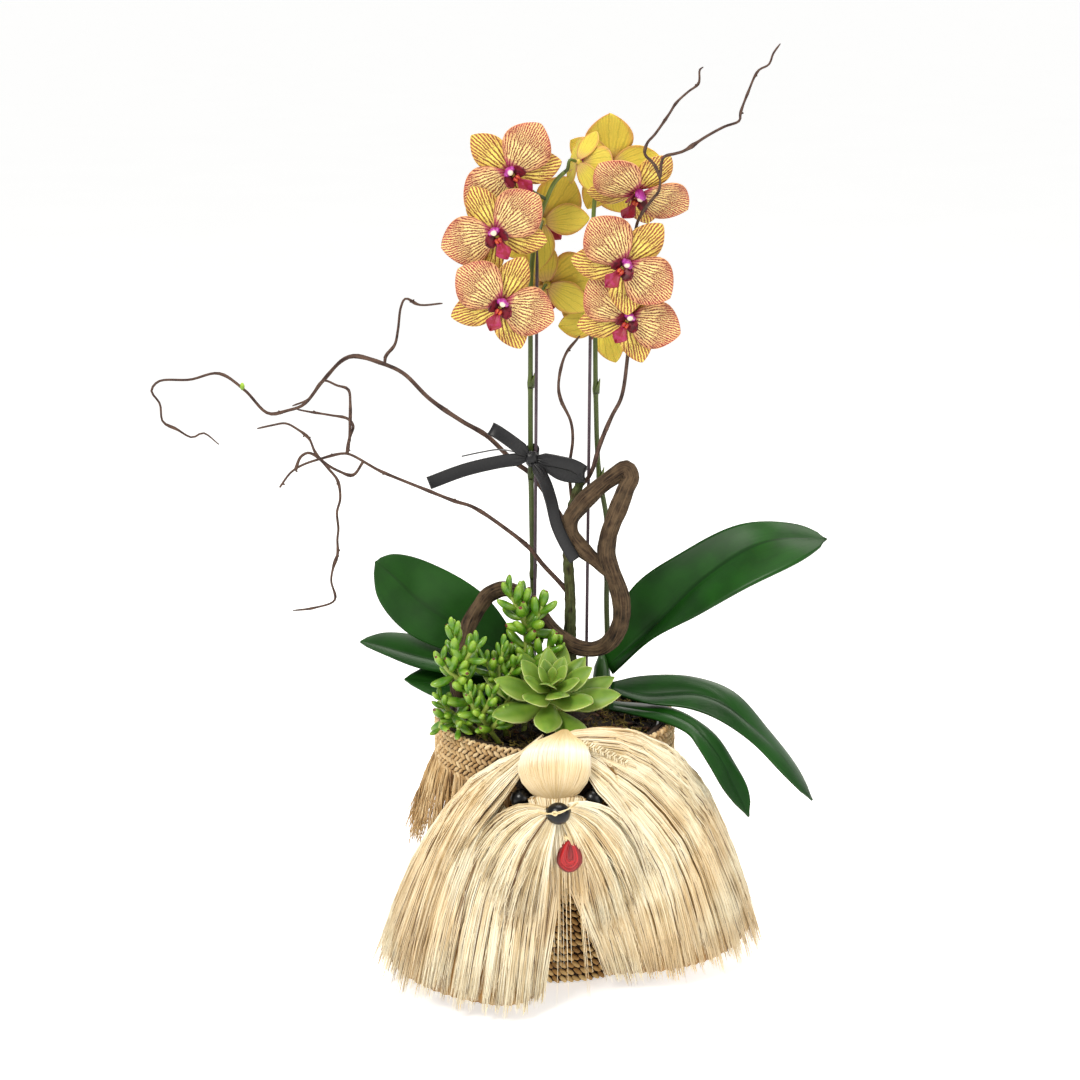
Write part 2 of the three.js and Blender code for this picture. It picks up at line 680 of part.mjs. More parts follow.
// Each bloom: where its petals meet, which way it faces, how far it is rolled, its size, cup and pedicel
const BLOOMS = [
  {
    name: "bloom_left_1",
    at: [-39, -8, 722],
    turn: { yaw: 6, pitch: -3, roll: 48 },
    size: 1,
    stalk: [-8, 11, 697],
  },
  {
    name: "bloom_left_2",
    at: [-52, -21, 671],
    turn: { yaw: -5, pitch: -3, roll: 28 },
    size: 1,
    stalk: [-19, 15, 652],
  },
  {
    name: "bloom_left_3",
    at: [-47, -34, 611],
    turn: { yaw: 4, pitch: -3, roll: -26 },
    size: 1,
    stalk: [-22, 15, 592],
  },
  {
    name: "bloom_left_4",
    at: [-11, 46, 674],
    turn: { yaw: 178, pitch: -4, roll: -45 },
    size: 0.95,
    stalk: [-16, 14, 668],
  },
  {
    name: "bloom_left_5",
    at: [-7, 48, 617],
    turn: { yaw: 172, pitch: -4, roll: -12 },
    size: 0.95,
    stalk: [-21, 15, 606],
  },
  {
    name: "bloom_left_6",
    at: [22, 14, 729],
    turn: { yaw: 128, pitch: -12, roll: 12 },
    size: 0.72,
    cup: 0.55,
  },
  {
    name: "bloom_right_1",
    at: [72, -10, 704],
    turn: { yaw: 4, pitch: -38, roll: -33 },
    size: 1,
    stalk: [36, 21, 697],
  },
  {
    name: "bloom_right_2",
    at: [60, -32, 645],
    turn: { yaw: 3, pitch: -3, roll: -45 },
    size: 1.03,
    stalk: [34, 22, 636],
  },
  {
    name: "bloom_right_3",
    at: [64, -14, 596],
    turn: { yaw: 3, pitch: -3, roll: -30 },
    size: 0.98,
    stalk: [35, 23, 586],
  },
  {
    name: "bloom_right_4",
    at: [49, 66, 723],
    turn: { yaw: 186, pitch: 16, roll: 77 },
    size: 0.98,
  },
  {
    name: "bloom_right_5",
    at: [43, 50, 585],
    turn: { yaw: 176, pitch: -4, roll: 30 },
    size: 0.9,
    stalk: [35, 23, 596],
  },
];

const facing = ({ turn }) => {
  const [a, b] = [radians(turn.yaw), radians(turn.pitch)];
  return point(Math.sin(a) * Math.cos(b), -Math.cos(a) * Math.cos(b), Math.sin(b));
};

function addBlooms() {
  BLOOMS.forEach((bloom, i) => {
    const random = seeded(20 + i);
    const outward = facing(bloom);
    const right = point(0, 0, 1).cross(outward).normalize();
    const up = outward.clone().cross(right);
    const holder = new THREE.Group();
    holder.matrixAutoUpdate = false;
    const roll = new THREE.Matrix4().makeRotationZ(radians(bloom.turn.roll));
    const size = new THREE.Matrix4().makeScale(bloom.size, bloom.size, bloom.size);
    holder.matrix.makeBasis(right, up, outward).multiply(roll).multiply(size).setPosition(...bloom.at);
    plant.add(holder);
    const lip = bloomLip();
    const petals = bloomPetals(bloom.cup ?? 0, random);
    addPart(`${bloom.name}_petals`, bloom.cup ? cleared(petals, lip, 1.05) : petals, "petal", holder);
    addPart(`${bloom.name}_lip`, lip, "lip", holder);
  });
}

// Spikes: an arching green stalk with node rings, and a pedicel to the back of each bloom
const LEFT_SPIKE = [
  [-21, 30, 262], [-20, 22, 292], [-20, 19, 346], [-21, 18, 406], [-22, 17, 471], [-22, 16, 567],
  [-22, 15, 608], [-20, 15, 646], [-14, 13, 679], [-7, 11, 699], [0, 9, 713], [8, 9, 721],
];
const RIGHT_SPIKE = [
  [49, 34, 262], [49, 29, 290], [48, 26, 328], [48, 26, 399], [40, 25, 450], [37, 24, 516], [36, 24, 574],
  [35, 23, 625], [34, 22, 684], [36, 21, 704], [40, 20, 716],
];

function hubBack(bloom) {
  const back = facing(bloom).multiplyScalar(-(HUB_DEPTH * bloom.size + 0.35));
  return point(...bloom.at).add(back);
}

function pedicel(start, bloom) {
  const end = hubBack(bloom);
  const outward = facing(bloom);
  const from = point(...start);
  const bend = from.clone().lerp(end, 0.5).addScaledVector(outward, -3).add(point(0, 0, -3));
  const before = end.clone().addScaledVector(outward, -6);
  const path = new THREE.CatmullRomCurve3([from, bend, before, end], false, "centripetal");
  return stem(path.getPoints(4), () => PEDICEL_RADIUS, 3);
}

function spike(list, side, base, tip) {
  const path = curveOf(list);
  const steps = 15;
  const nodes = [3, 6, 9];
  const thickness = (t, i) => lerp(base, tip, t) + (nodes.includes(i) ? 0.7 : 0);
  const stalk = stem(path.getSpacedPoints(steps), thickness, 6);
  const own = BLOOMS.filter((bloom) => bloom.name.includes(side));
  const pedicels = own.map((bloom) => pedicel(bloom.stalk ?? list.at(-1), bloom));
  return fused([stalk, ...pedicels]);
}

function addSpikes() {
  addPart("spike_left", spike(LEFT_SPIKE, "left", 2.8, 1.9), "spike");
  addPart("spike_right", spike(RIGHT_SPIKE, "right", 2.6, 1.9), "spike");
  const stakes = [["stake_left", [-19, 8], [-16, 8, 653]], ["stake_right", [29, 14], [32, 14, 676]]];
  for (const [name, [x, y], top] of stakes) {
    const foot = rooted(x, y, 1.5);
    const halfway = foot.map((low, k) => (low + top[k]) / 2);
    addPart(name, rod([foot, halfway, top], 1.5, 6, 2), "stake");
  }
}

// Stonecrop: bean-shaped leaves in a spiral up each stem, crowded into a head at its tip
function bean(base, direction, length, radius) {
  const rise = point(0, 0, 0.16 * length);
  const tip = base.clone().addScaledVector(direction, length).add(rise);
  const belly = base.clone().addScaledVector(direction, length * 0.55).addScaledVector(rise, 0.2);
  const radii = [radius * 0.42, radius, radius * 0.5];
  return stem([base, belly, tip], (t, i) => radii[i], 4);
}

// The place and the direction a share t of the way along straight runs between points
function alongRuns(points, t) {
  const place = t * (points.length - 1);
  const k = Math.min(Math.floor(place), points.length - 2);
  const direction = points[k + 1].clone().sub(points[k]).normalize();
  return [points[k].clone().lerp(points[k + 1], place - k), direction];
}

function stonecrop({ stalk, leaves, length, heads = [] }, seed) {
  const random = seeded(seed);
  const main = stalk.map((p) => point(...p));
  const bodies = [stem(main, (t) => lerp(2.6, 1.9, t), 4)];
  const grow = (points, count, from, size) => {
    for (let i = 0; i < count; i += 1) {
      const t = lerp(from, 0.99, i / Math.max(1, count - 1));
      const spread = radians(lerp(74, 24, t) + 6 * random());
      const [base, along] = alongRuns(points, t);
      const across = point(0, 1, 0).cross(along).normalize();
      const out = across.applyAxisAngle(along, i * GOLDEN_ANGLE + seed);
      const direction = along.multiplyScalar(Math.cos(spread)).addScaledVector(out, Math.sin(spread));
      const reach = size * (1 - 0.35 * t) * (1 + 0.1 * random());
      bodies.push(bean(base, direction, reach, reach * 0.21 + 0.6));
    }
  };
  grow(main, leaves, 0.5, length);
  for (const head of heads) {
    const branch = head.stalk.map((p) => point(...p));
    bodies.push(stem(branch, () => 1.7, 4));
    grow(branch, head.leaves, 0.55, length * 0.8);
  }
  return fused(bodies);
}

const STONECROPS = [
  {
    stalk: [[-28, -44, 0], [-26, -29, 268], [-26, -28, 310], [-26, -28, 345]],
    leaves: 11,
    length: 21,
    heads: [{ stalk: [[-26, -28, 316], [-34, -29, 338], [-40, -30, 350]], leaves: 3 }],
  },
  { stalk: [[-62, -56, 0], [-76, -62, 262], [-89, -66, 296], [-91, -68, 324]], leaves: 10, length: 18 },
  {
    stalk: [[-44, -46, 0], [-50, -48, 270], [-50, -50, 288], [-46, -52, 306]],
    leaves: 6,
    length: 13,
    heads: [{ stalk: [[-50, -49, 276], [-58, -52, 288], [-62, -54, 297]], leaves: 3 }],
  },
  { stalk: [[-8, -16, 0], [-5, -25, 275], [0, -28, 292], [5, -29, 303]], leaves: 5, length: 11 },
  { stalk: [[-50, -66, 0], [-66, -76, 250], [-74, -80, 262], [-77, -82, 278]], leaves: 5, length: 13 },
  {
    stalk: [[-68, -42, 0], [-86, -54, 240], [-97, -63, 250], [-105, -70, 263]],
    leaves: 5,
    length: 14,
    heads: [{ stalk: [[-97, -63, 250], [-103, -69, 241], [-106, -75, 234]], leaves: 3 }],
  },
];

function addStonecrops() {
  STONECROPS.forEach((spray, i) => {
    const [x, y] = spray.stalk[0];
    const foot = rooted(x, y, 3.2);
    const ground = [x, y, soilTop(x, y) + 6];
    const stalk = [foot, ground, ...spray.stalk.slice(1)];
    addPart(`stonecrop_${i + 1}`, stonecrop({ ...spray, stalk }, 40 + i), "stonecrop");
  });
}

// Echeveria: keeled leaves in a golden-angle rosette that leans towards the front
const ROSETTE_CENTRE = point(-1, -65, 269);
const ROSETTE_AXIS = point(0.04, -0.64, 0.77).normalize();

function rosetteLeaf(turn, rank) {
  const length = lerp(ROSETTE_LENGTH, 16, rank ** 1.3);
  const raise = radians(lerp(2, 78, rank ** 0.8));
  const side = point(1, 0, 0).addScaledVector(ROSETTE_AXIS, -ROSETTE_AXIS.x).normalize();
  const out = side.applyAxisAngle(ROSETTE_AXIS, turn);
  const across = ROSETTE_AXIS.clone().cross(out);
  const direction = out.clone().multiplyScalar(Math.cos(raise));
  direction.addScaledVector(ROSETTE_AXIS, Math.sin(raise));
  const top = direction.clone().cross(across).negate();
  const start = ROSETTE_CENTRE.clone().addScaledVector(ROSETTE_AXIS, lerp(-8, 2, rank));
  const halfWidth = length * 0.27;
  const sections = [[0, 0.3, 1.5], [0.62, 1, 2.4], [1, 0.06, 0.7]];
  return loft(sections.map(([t, wide, thick]) => {
    const curl = top.dot(ROSETTE_AXIS) > 0 ? 1 : -1;
    const middle = start.clone().addScaledVector(direction, length * t);
    middle.addScaledVector(top, curl * 0.1 * length * t * t);
    const rim = thick * 0.5 + 1.2 * wide;
    return [
      middle.clone().addScaledVector(across, -halfWidth * wide).addScaledVector(top, curl * rim),
      middle.clone().addScaledVector(top, curl * thick * 0.4),
      middle.clone().addScaledVector(across, halfWidth * wide).addScaledVector(top, curl * rim),
      middle.clone().addScaledVector(top, -curl * thick),
    ];
  }));
}

function echeveria() {
  const foot = rooted(-3, -48, 5);
  const neck = stem([point(...foot), point(-3, -49, 240), ROSETTE_CENTRE.clone()], () => 5, 5);
  const leaves = Array.from({ length: ROSETTE_LEAVES }, (_, i) => {
    return rosetteLeaf(i * GOLDEN_ANGLE, i / (ROSETTE_LEAVES - 1));
  });
  return fused([neck, ...leaves]);
}

// Vine: a thick woody stem that loops over itself
const VINE_ROUTE = [
  [-84, -36, 246], [-88, -37, 262], [-88, -35, 276], [-84, -31, 294], [-78, -23, 317], [-69, -16, 333],
  [-60, -10, 343], [-45, -6, 347], [-27, -6, 338], [-6, -9, 313], [2, -12, 306], [15, -14, 297],
  [29, -17, 293], [43, -21, 296], [53, -25, 307], [59, -28, 322], [60, -30, 339], [57, -32, 355],
  [51, -33, 371], [46, -33, 386], [47, -32, 401], [51, -31, 415], [57, -28, 430], [63, -25, 445],
  [68, -22, 454], [64, -19, 462], [53, -17, 455], [37, -16, 442], [24, -16, 429], [14, -17, 415],
  [14, -18, 402], [22, -20, 391], [33, -24, 381], [44, -30, 372], [52, -33, 365],
];

function vine() {
  const foot = rooted(-76, -28, 8.4);
  const list = [foot, [-76, -28, 224], ...VINE_ROUTE].map((p) => point(...p));
  const bark = (t, i) => circle(1, 8).map(([a, b], k) => {
    const taper = lerp(6.6, 8, Math.min(1, 1.6 * t)) * (t > 0.94 ? 0.8 : 1);
    const ridge = (k % 2 ? 0.07 : -0.05) + 0.05 * Math.sin(i * 1.7 + k);
    return [a * taper * (1 + ridge), b * taper * (1 + ridge)];
  });
  return loft(carriedRings(list, bark));
}

// Willow: a mossy trunk with crooked twigs, each a list of its bends
const TRUNK = [
  [14, 2, 250], [14, 2, 299], [14, 2, 338], [12, 3, 375],
  [14, 4, 400], [16, 5, 421], [22, 4, 442], [25, 4, 449],
];
const TWIGS = [
  {
    from: 3,
    to: 1.2,
    bends: [
      [12, 4, 400], [7, 7, 409], [-11, 20, 434], [-23, 26, 448], [-37, 27, 458], [-62, 24, 483],
      [-84, 20, 497], [-113, 18, 518], [-136, 18, 541], [-153, 20, 549], [-180, 23, 556],
      [-191, 26, 552], [-210, 29, 532], [-228, 32, 510], [-243, 35, 504], [-261, 37, 501],
      [-282, 39, 522], [-305, 41, 537], [-332, 43, 531], [-361, 45, 529], [-368, 46, 520],
      [-361, 47, 508], [-359, 48, 491], [-347, 49, 484], [-333, 50, 476], [-323, 51, 480],
      [-309, 52, 469],
    ],
  },
  {
    from: 1.7,
    to: 1.2,
    bends: [
      [-153, 20, 549], [-152, 22, 556], [-144, 24, 566], [-141, 25, 579], [-138, 27, 600], [-134, 29, 607],
      [-122, 32, 601], [-101, 34, 602],
    ],
  },
  {
    from: 2.8,
    to: 1.3,
    bends: [
      [13, 3, 340], [8, 2, 347], [-11, -2, 369], [-23, -5, 385], [-43, -9, 403], [-74, -12, 425],
      [-90, -15, 431], [-117, -19, 443], [-137, -22, 452], [-156, -25, 461], [-182, -30, 477],
      [-189, -32, 478], [-207, -35, 474], [-223, -38, 469], [-233, -41, 463], [-243, -44, 450],
    ],
  },
  {
    from: 1.8,
    to: 1.2,
    bends: [
      [-184, -31, 478], [-182, -26, 491], [-179, -20, 500], [-185, -9, 505], [-201, 2, 506],
      [-221, 13, 507], [-233, 24, 507],
    ],
  },
  {
    from: 1.6,
    to: 1.2,
    bends: [
      [-182, -27, 488], [-181, -23, 521], [-183, -15, 532], [-194, -4, 534], [-208, 8, 536],
      [-222, 16, 518], [-237, 20, 511],
    ],
  },
  {
    from: 1.6,
    to: 1.2,
    bends: [
      [-170, -28, 470], [-179, -34, 459], [-191, -40, 464], [-201, -44, 471], [-210, -49, 482],
      [-215, -54, 496], [-224, -59, 505], [-234, -62, 511], [-246, -66, 510], [-258, -70, 508],
    ],
  },
  {
    from: 1.6,
    to: 1.2,
    bends: [
      [-229, -40, 465], [-224, -42, 477], [-217, -43, 481], [-208, -46, 477], [-198, -50, 467],
      [-191, -52, 458], [-189, -53, 442], [-192, -54, 430], [-191, -55, 415], [-192, -56, 406],
      [-192, -57, 393], [-196, -58, 381], [-198, -59, 369], [-195, -61, 352], [-213, -62, 345],
      [-232, -64, 343],
    ],
  },
  {
    from: 2,
    to: 1.5,
    bends: [
      [16, 6, 420], [13, 9, 455], [16, 8, 483], [14, 6, 500], [5, 4, 520], [3, 4, 533], [9, 5, 560],
      [22, 6, 577],
    ],
  },
  {
    from: 2.4,
    to: 1.7,
    bends: [
      [22, 4, 440], [29, 3, 447], [34, 2, 457], [40, 3, 478], [51, 4, 505], [59, 4, 521], [64, 4, 554],
      [67, 3, 613], [69, 0, 655], [71, -4, 676], [75, -18, 688], [82, -40, 701], [88, -54, 712],
      [88, -58, 723],
    ],
  },
  {
    from: 1.6,
    to: 1.2,
    bends: [
      [88, -58, 722], [83, -59, 733], [75, -59, 742], [77, -59, 751], [83, -60, 758], [95, -59, 775],
      [101, -56, 784], [111, -53, 793], [120, -50, 800], [121, -47, 811], [124, -44, 813],
    ],
  },
  {
    from: 1.7,
    to: 1.2,
    bends: [
      [88, -58, 722], [91, -58, 739], [101, -57, 742], [108, -55, 744], [127, -53, 756], [142, -52, 764],
      [155, -50, 769], [156, -47, 775], [162, -43, 791], [171, -40, 810], [180, -37, 815],
      [184, -33, 824], [190, -30, 832],
    ],
  },
];

function willow() {
  const foot = rooted(14, 2, 6.5);
  const trunk = tapered([foot, ...TRUNK], 6.5, 4, 6);
  const twigs = TWIGS.map(({ from, to, bends }) => tapered(bends, from, to, 3));
  return fused([trunk, ...twigs]);
}

// Ribbon: a wrap round the left spike and stake, a knot, two loops and three tails
const RIBBON_WIDTH = 12;
const RIBBON_THICKNESS = 0.8;
const RIBBON_GATHER = 0.4;
const RIBBON_STRIPS = [
  {
    path: [
      [-23, 2, 470], [-35, 0, 480], [-50, -2, 494], [-61, -4, 502], [-63, -9, 494], [-52, -10, 484],
      [-36, -7, 473], [-24, 0, 466],
    ],
    wide: [-0.5, 0, -0.86],
    loop: true,
  },
  { path: [[-24, 0, 465], [-50, -3, 458], [-85, -5, 450], [-117, -6, 444]], wide: [-0.25, 0, -0.97] },
  { path: [[-25, 3, 468], [-40, 6, 472], [-62, 7, 474], [-85, 5, 469]], wide: [0, -0.8, -0.6] },
  {
    path: [
      [-18, 2, 468], [-5, -2, 470], [12, -4, 467], [27, -6, 460], [30, -10, 452], [18, -13, 449],
      [0, -8, 456], [-18, 0, 464],
    ],
    wide: [-0.1, 0.1, -0.98],
    loop: true,
  },
  {
    path: [[-20, -1, 463], [-10, -12, 449], [-2, -24, 430], [3, -31, 410], [10, -34, 395], [19, -36, 380]],
    wide: [-0.97, -0.1, -0.25],
  },
];

function ribbonStrip({ path, wide, loop = false }) {
  const middles = path.map((p) => point(...p));
  const across = point(...wide).normalize();
  const last = middles.length - 1;
  const rings = middles.map((middle, i) => {
    const tangent = middles[Math.min(i + 1, last)].clone().sub(middles[Math.max(i - 1, 0)]).normalize();
    const side = across.clone().addScaledVector(tangent, -across.dot(tangent)).normalize();
    const normal = tangent.clone().cross(side);
    const gathered = i === 0 || (loop && i === last);
    const [w, h] = [(RIBBON_WIDTH / 2) * (gathered ? RIBBON_GATHER : 1), RIBBON_THICKNESS / 2];
    const corners = [[-w, -h], [w, -h], [w, h], [-w, h]];
    return corners.map(([a, b]) => middle.clone().addScaledVector(side, a).addScaledVector(normal, b));
  });
  return loft(rings);
}

function ribbon() {
  const outline = new THREE.Shape();
  outline.absellipse(0, 0, 6.4, 10.4, 0, 2 * Math.PI);
  const inside = new THREE.Path();
  inside.absellipse(0, 0, 5.2, 9.2, 0, 2 * Math.PI);
  outline.holes.push(inside);
  const drawn = { depth: 0.8 * RIBBON_WIDTH, bevelEnabled: false, curveSegments: 5 };
  const wrap = new THREE.ExtrudeGeometry(outline, drawn);
  wrap.rotateZ(radians(14)).translate(-20.2, 13, 462);
  const knot = ball([6, 4.5, 6.5], [-21, 1, 467], 6, 4);
  return fused([solidOf(wrap), knot, ...RIBBON_STRIPS.map(ribbonStrip)]);
}

addPart("basket", basket(), "twine");
addPart("liner", liner(), "liner");
addPart("trim_fringe", trim(), "twine");
addFace();
addOrchidPlant("left", LEFT_LEAVES);
addOrchidPlant("right", RIGHT_LEAVES);
addBlooms();
addSpikes();
addStonecrops();
addPart("echeveria", echeveria(), "echeveria");
addPart("vine", vine(), "vine");
addPart("willow_branch", willow(), "willow");
addPart("ribbon", ribbon(), "ribbon");
addPart("soil", soil(holes), "soil");

export default plant;
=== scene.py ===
"""Moth orchid in basket: the finished surfaces, in metres, +Z up, with the dog's face towards -Y."""

import logging
from collections.abc import Callable, Sequence
from dataclasses import KW_ONLY, dataclass
from enum import Enum
from math import cos, pi, radians, sin

import bmesh
import bpy
import numpy as np
from mathutils import Matrix, Vector


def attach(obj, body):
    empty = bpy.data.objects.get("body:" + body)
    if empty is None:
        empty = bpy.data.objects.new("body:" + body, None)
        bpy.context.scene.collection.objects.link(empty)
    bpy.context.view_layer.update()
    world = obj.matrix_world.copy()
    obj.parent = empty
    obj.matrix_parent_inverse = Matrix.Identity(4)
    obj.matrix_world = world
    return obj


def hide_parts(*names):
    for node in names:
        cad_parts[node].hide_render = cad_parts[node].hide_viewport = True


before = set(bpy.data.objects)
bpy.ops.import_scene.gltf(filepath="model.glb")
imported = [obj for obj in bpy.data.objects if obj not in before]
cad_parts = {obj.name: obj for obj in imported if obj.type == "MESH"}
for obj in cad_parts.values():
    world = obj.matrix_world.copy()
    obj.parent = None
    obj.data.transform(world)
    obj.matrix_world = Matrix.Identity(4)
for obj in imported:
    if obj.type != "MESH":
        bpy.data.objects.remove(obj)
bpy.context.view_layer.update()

MM = 0.001
FLOOR_GAP = 0.8
GOLDEN_ANGLE = radians(137.508)
TONE = "tone"
SHADER = "Principled BSDF"
WHITE = (1.0, 1.0, 1.0, 1.0)

Array = np.ndarray
Places = Sequence[Sequence[float]]
Surface = Callable[[Array, Array], Array]
Socket = bpy.types.NodeSocket
Sockets = bpy.types.bpy_prop_collection
Look = tuple[Socket, Socket, float, float]

log = logging.getLogger("orchid_basket")
seeded = np.random.default_rng


class Slot(Enum):
    """Names of material slots."""

    TWINE = "twine"
    SOIL = "soil"
    HAIR = "hair"
    BEAD = "bead"
    RAFFIA = "raffia"
    TONGUE = "tongue"
    LEAF = "leaf"
    SPIKE = "spike"
    STAKE = "stake"
    PETAL = "petal"
    LIP = "lip"
    STONECROP = "stonecrop"
    ECHEVERIA = "echeveria"
    VINE = "vine"
    WILLOW = "willow"
    RIBBON = "ribbon"


class Side(Enum):
    """The object's left and right, as seen from the front."""

    LEFT = "left"
    RIGHT = "right"


# Shapes in numbers


def curve_at(points: Places | Array, shares: Array | float) -> Array:
    """Finds places on the smooth centripetal curve through a list of points.

    Args:
        points: the points, one row each.
        shares: shares of the way along, 0 to 1, in an array of any shape.

    Returns:
        One place for each share.
    """
    given = np.asarray(points, float)
    line = np.vstack([2 * given[0] - given[1], given, 2 * given[-1] - given[-2]])
    place = np.clip(shares, 0, 1) * (len(given) - 1)
    first = np.minimum(np.asarray(place).astype(int), len(given) - 2)
    w = np.asarray(place - first)[..., None]
    a, b, c, d = (line[first + k] for k in range(4))
    before, here, after = (
        np.sqrt(np.linalg.norm(q - p, axis=-1, keepdims=True)) + 1e-9 for p, q in ((a, b), (b, c), (c, d))
    )
    leave = here * ((b - a) / before - (c - a) / (before + here) + (c - b) / here)
    arrive = here * ((c - b) / here - (d - b) / (here + after) + (d - c) / after)
    return b + w * (leave + w * (3 * (c - b) - 2 * leave - arrive + w * (2 * (b - c) + leave + arrive)))


def spaced(points: Places | Array, count: int) -> Array:
    """Places an even distance apart along the smooth curve through the points."""
    fine = curve_at(points, np.linspace(0, 1, 30 * len(points)))
    gone = np.r_[0, np.cumsum(np.linalg.norm(np.diff(fine, axis=0), axis=1))]
    return np.column_stack([np.interp(np.linspace(0, gone[-1], count), gone, fine[:, k]) for k in range(3)])


def unit(vectors: Array | Sequence[float]) -> Array:
    """Scales vectors to a length of one."""
    vectors = np.asarray(vectors, float)
    return vectors / (np.linalg.norm(vectors, axis=-1, keepdims=True) + 1e-12)


def carried(path: Array) -> tuple[Array, Array]:
    """Carries a section along a path without twisting it.

    Args:
        path: places along the path.

    Returns:
        The section's side and lift directions at each place.
    """
    tangents = unit(np.gradient(path, axis=0))
    side = np.array([0.0, 1.0, 0.0]) if abs(tangents[0][0]) > 0.8 else np.array([1.0, 0.0, 0.0])
    sides = []
    for tangent in tangents:
        side = unit(side - tangent * (side @ tangent))
        sides.append(side)
    return np.array(sides), np.cross(tangents, sides)


def waves(x: Array, y: Array, length: float, seed: int) -> Array:
    """Low unevenness between -1 and 1: a seeded sum of waves of about one length."""
    draw = seeded(seed)
    total = np.zeros(np.broadcast(x, y).shape)
    for _ in range(6):
        angle, phase, stretch = draw.uniform(0, 2 * pi), draw.uniform(0, 2 * pi), draw.uniform(0.6, 1.6)
        total += np.sin(2 * pi / (length * stretch) * (x * cos(angle) + y * sin(angle)) + phase)
    return total / 3.5


def lerp(first: float | Array, second: float | Array, share: float | Array) -> float | Array:
    """Blends between two values."""
    return first + (second - first) * share


def xyz(x: float | Array, y: float | Array, z: float | Array) -> Array:
    """Joins coordinates in rows of places."""
    return np.stack(np.broadcast_arrays(x, y, z), axis=-1)


def about(radius: float | Array, angle: float | Array, z: float | Array) -> Array:
    """Places round the basket's axis, where angle 0 is the front."""
    return xyz(radius * np.sin(angle), -radius * np.cos(angle), z)


# Shaping tools


class Shape:
    """Something that becomes a piece of the object."""

    def shaped(self, name: str) -> bpy.types.Mesh:
        """Makes the finished mesh."""
        raise NotImplementedError

    def piece(
        self, name: str, slot: Slot, finishes: Sequence["Finish"], stands_for: Sequence[str] = ()
    ) -> bpy.types.Object:
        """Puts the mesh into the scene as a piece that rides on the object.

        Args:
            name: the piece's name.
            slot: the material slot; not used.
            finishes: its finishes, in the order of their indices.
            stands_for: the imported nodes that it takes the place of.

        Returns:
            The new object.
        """
        mesh = self.shaped(name)
        piece = bpy.data.objects.new(name, mesh)
        bpy.context.scene.collection.objects.link(piece)
        for finish in finishes:
            mesh.materials.append(finish.material())
        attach(piece, "root")
        if stands_for:
            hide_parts(*stands_for)
        log.info("%s: %d faces", name, len(mesh.polygons))
        return piece


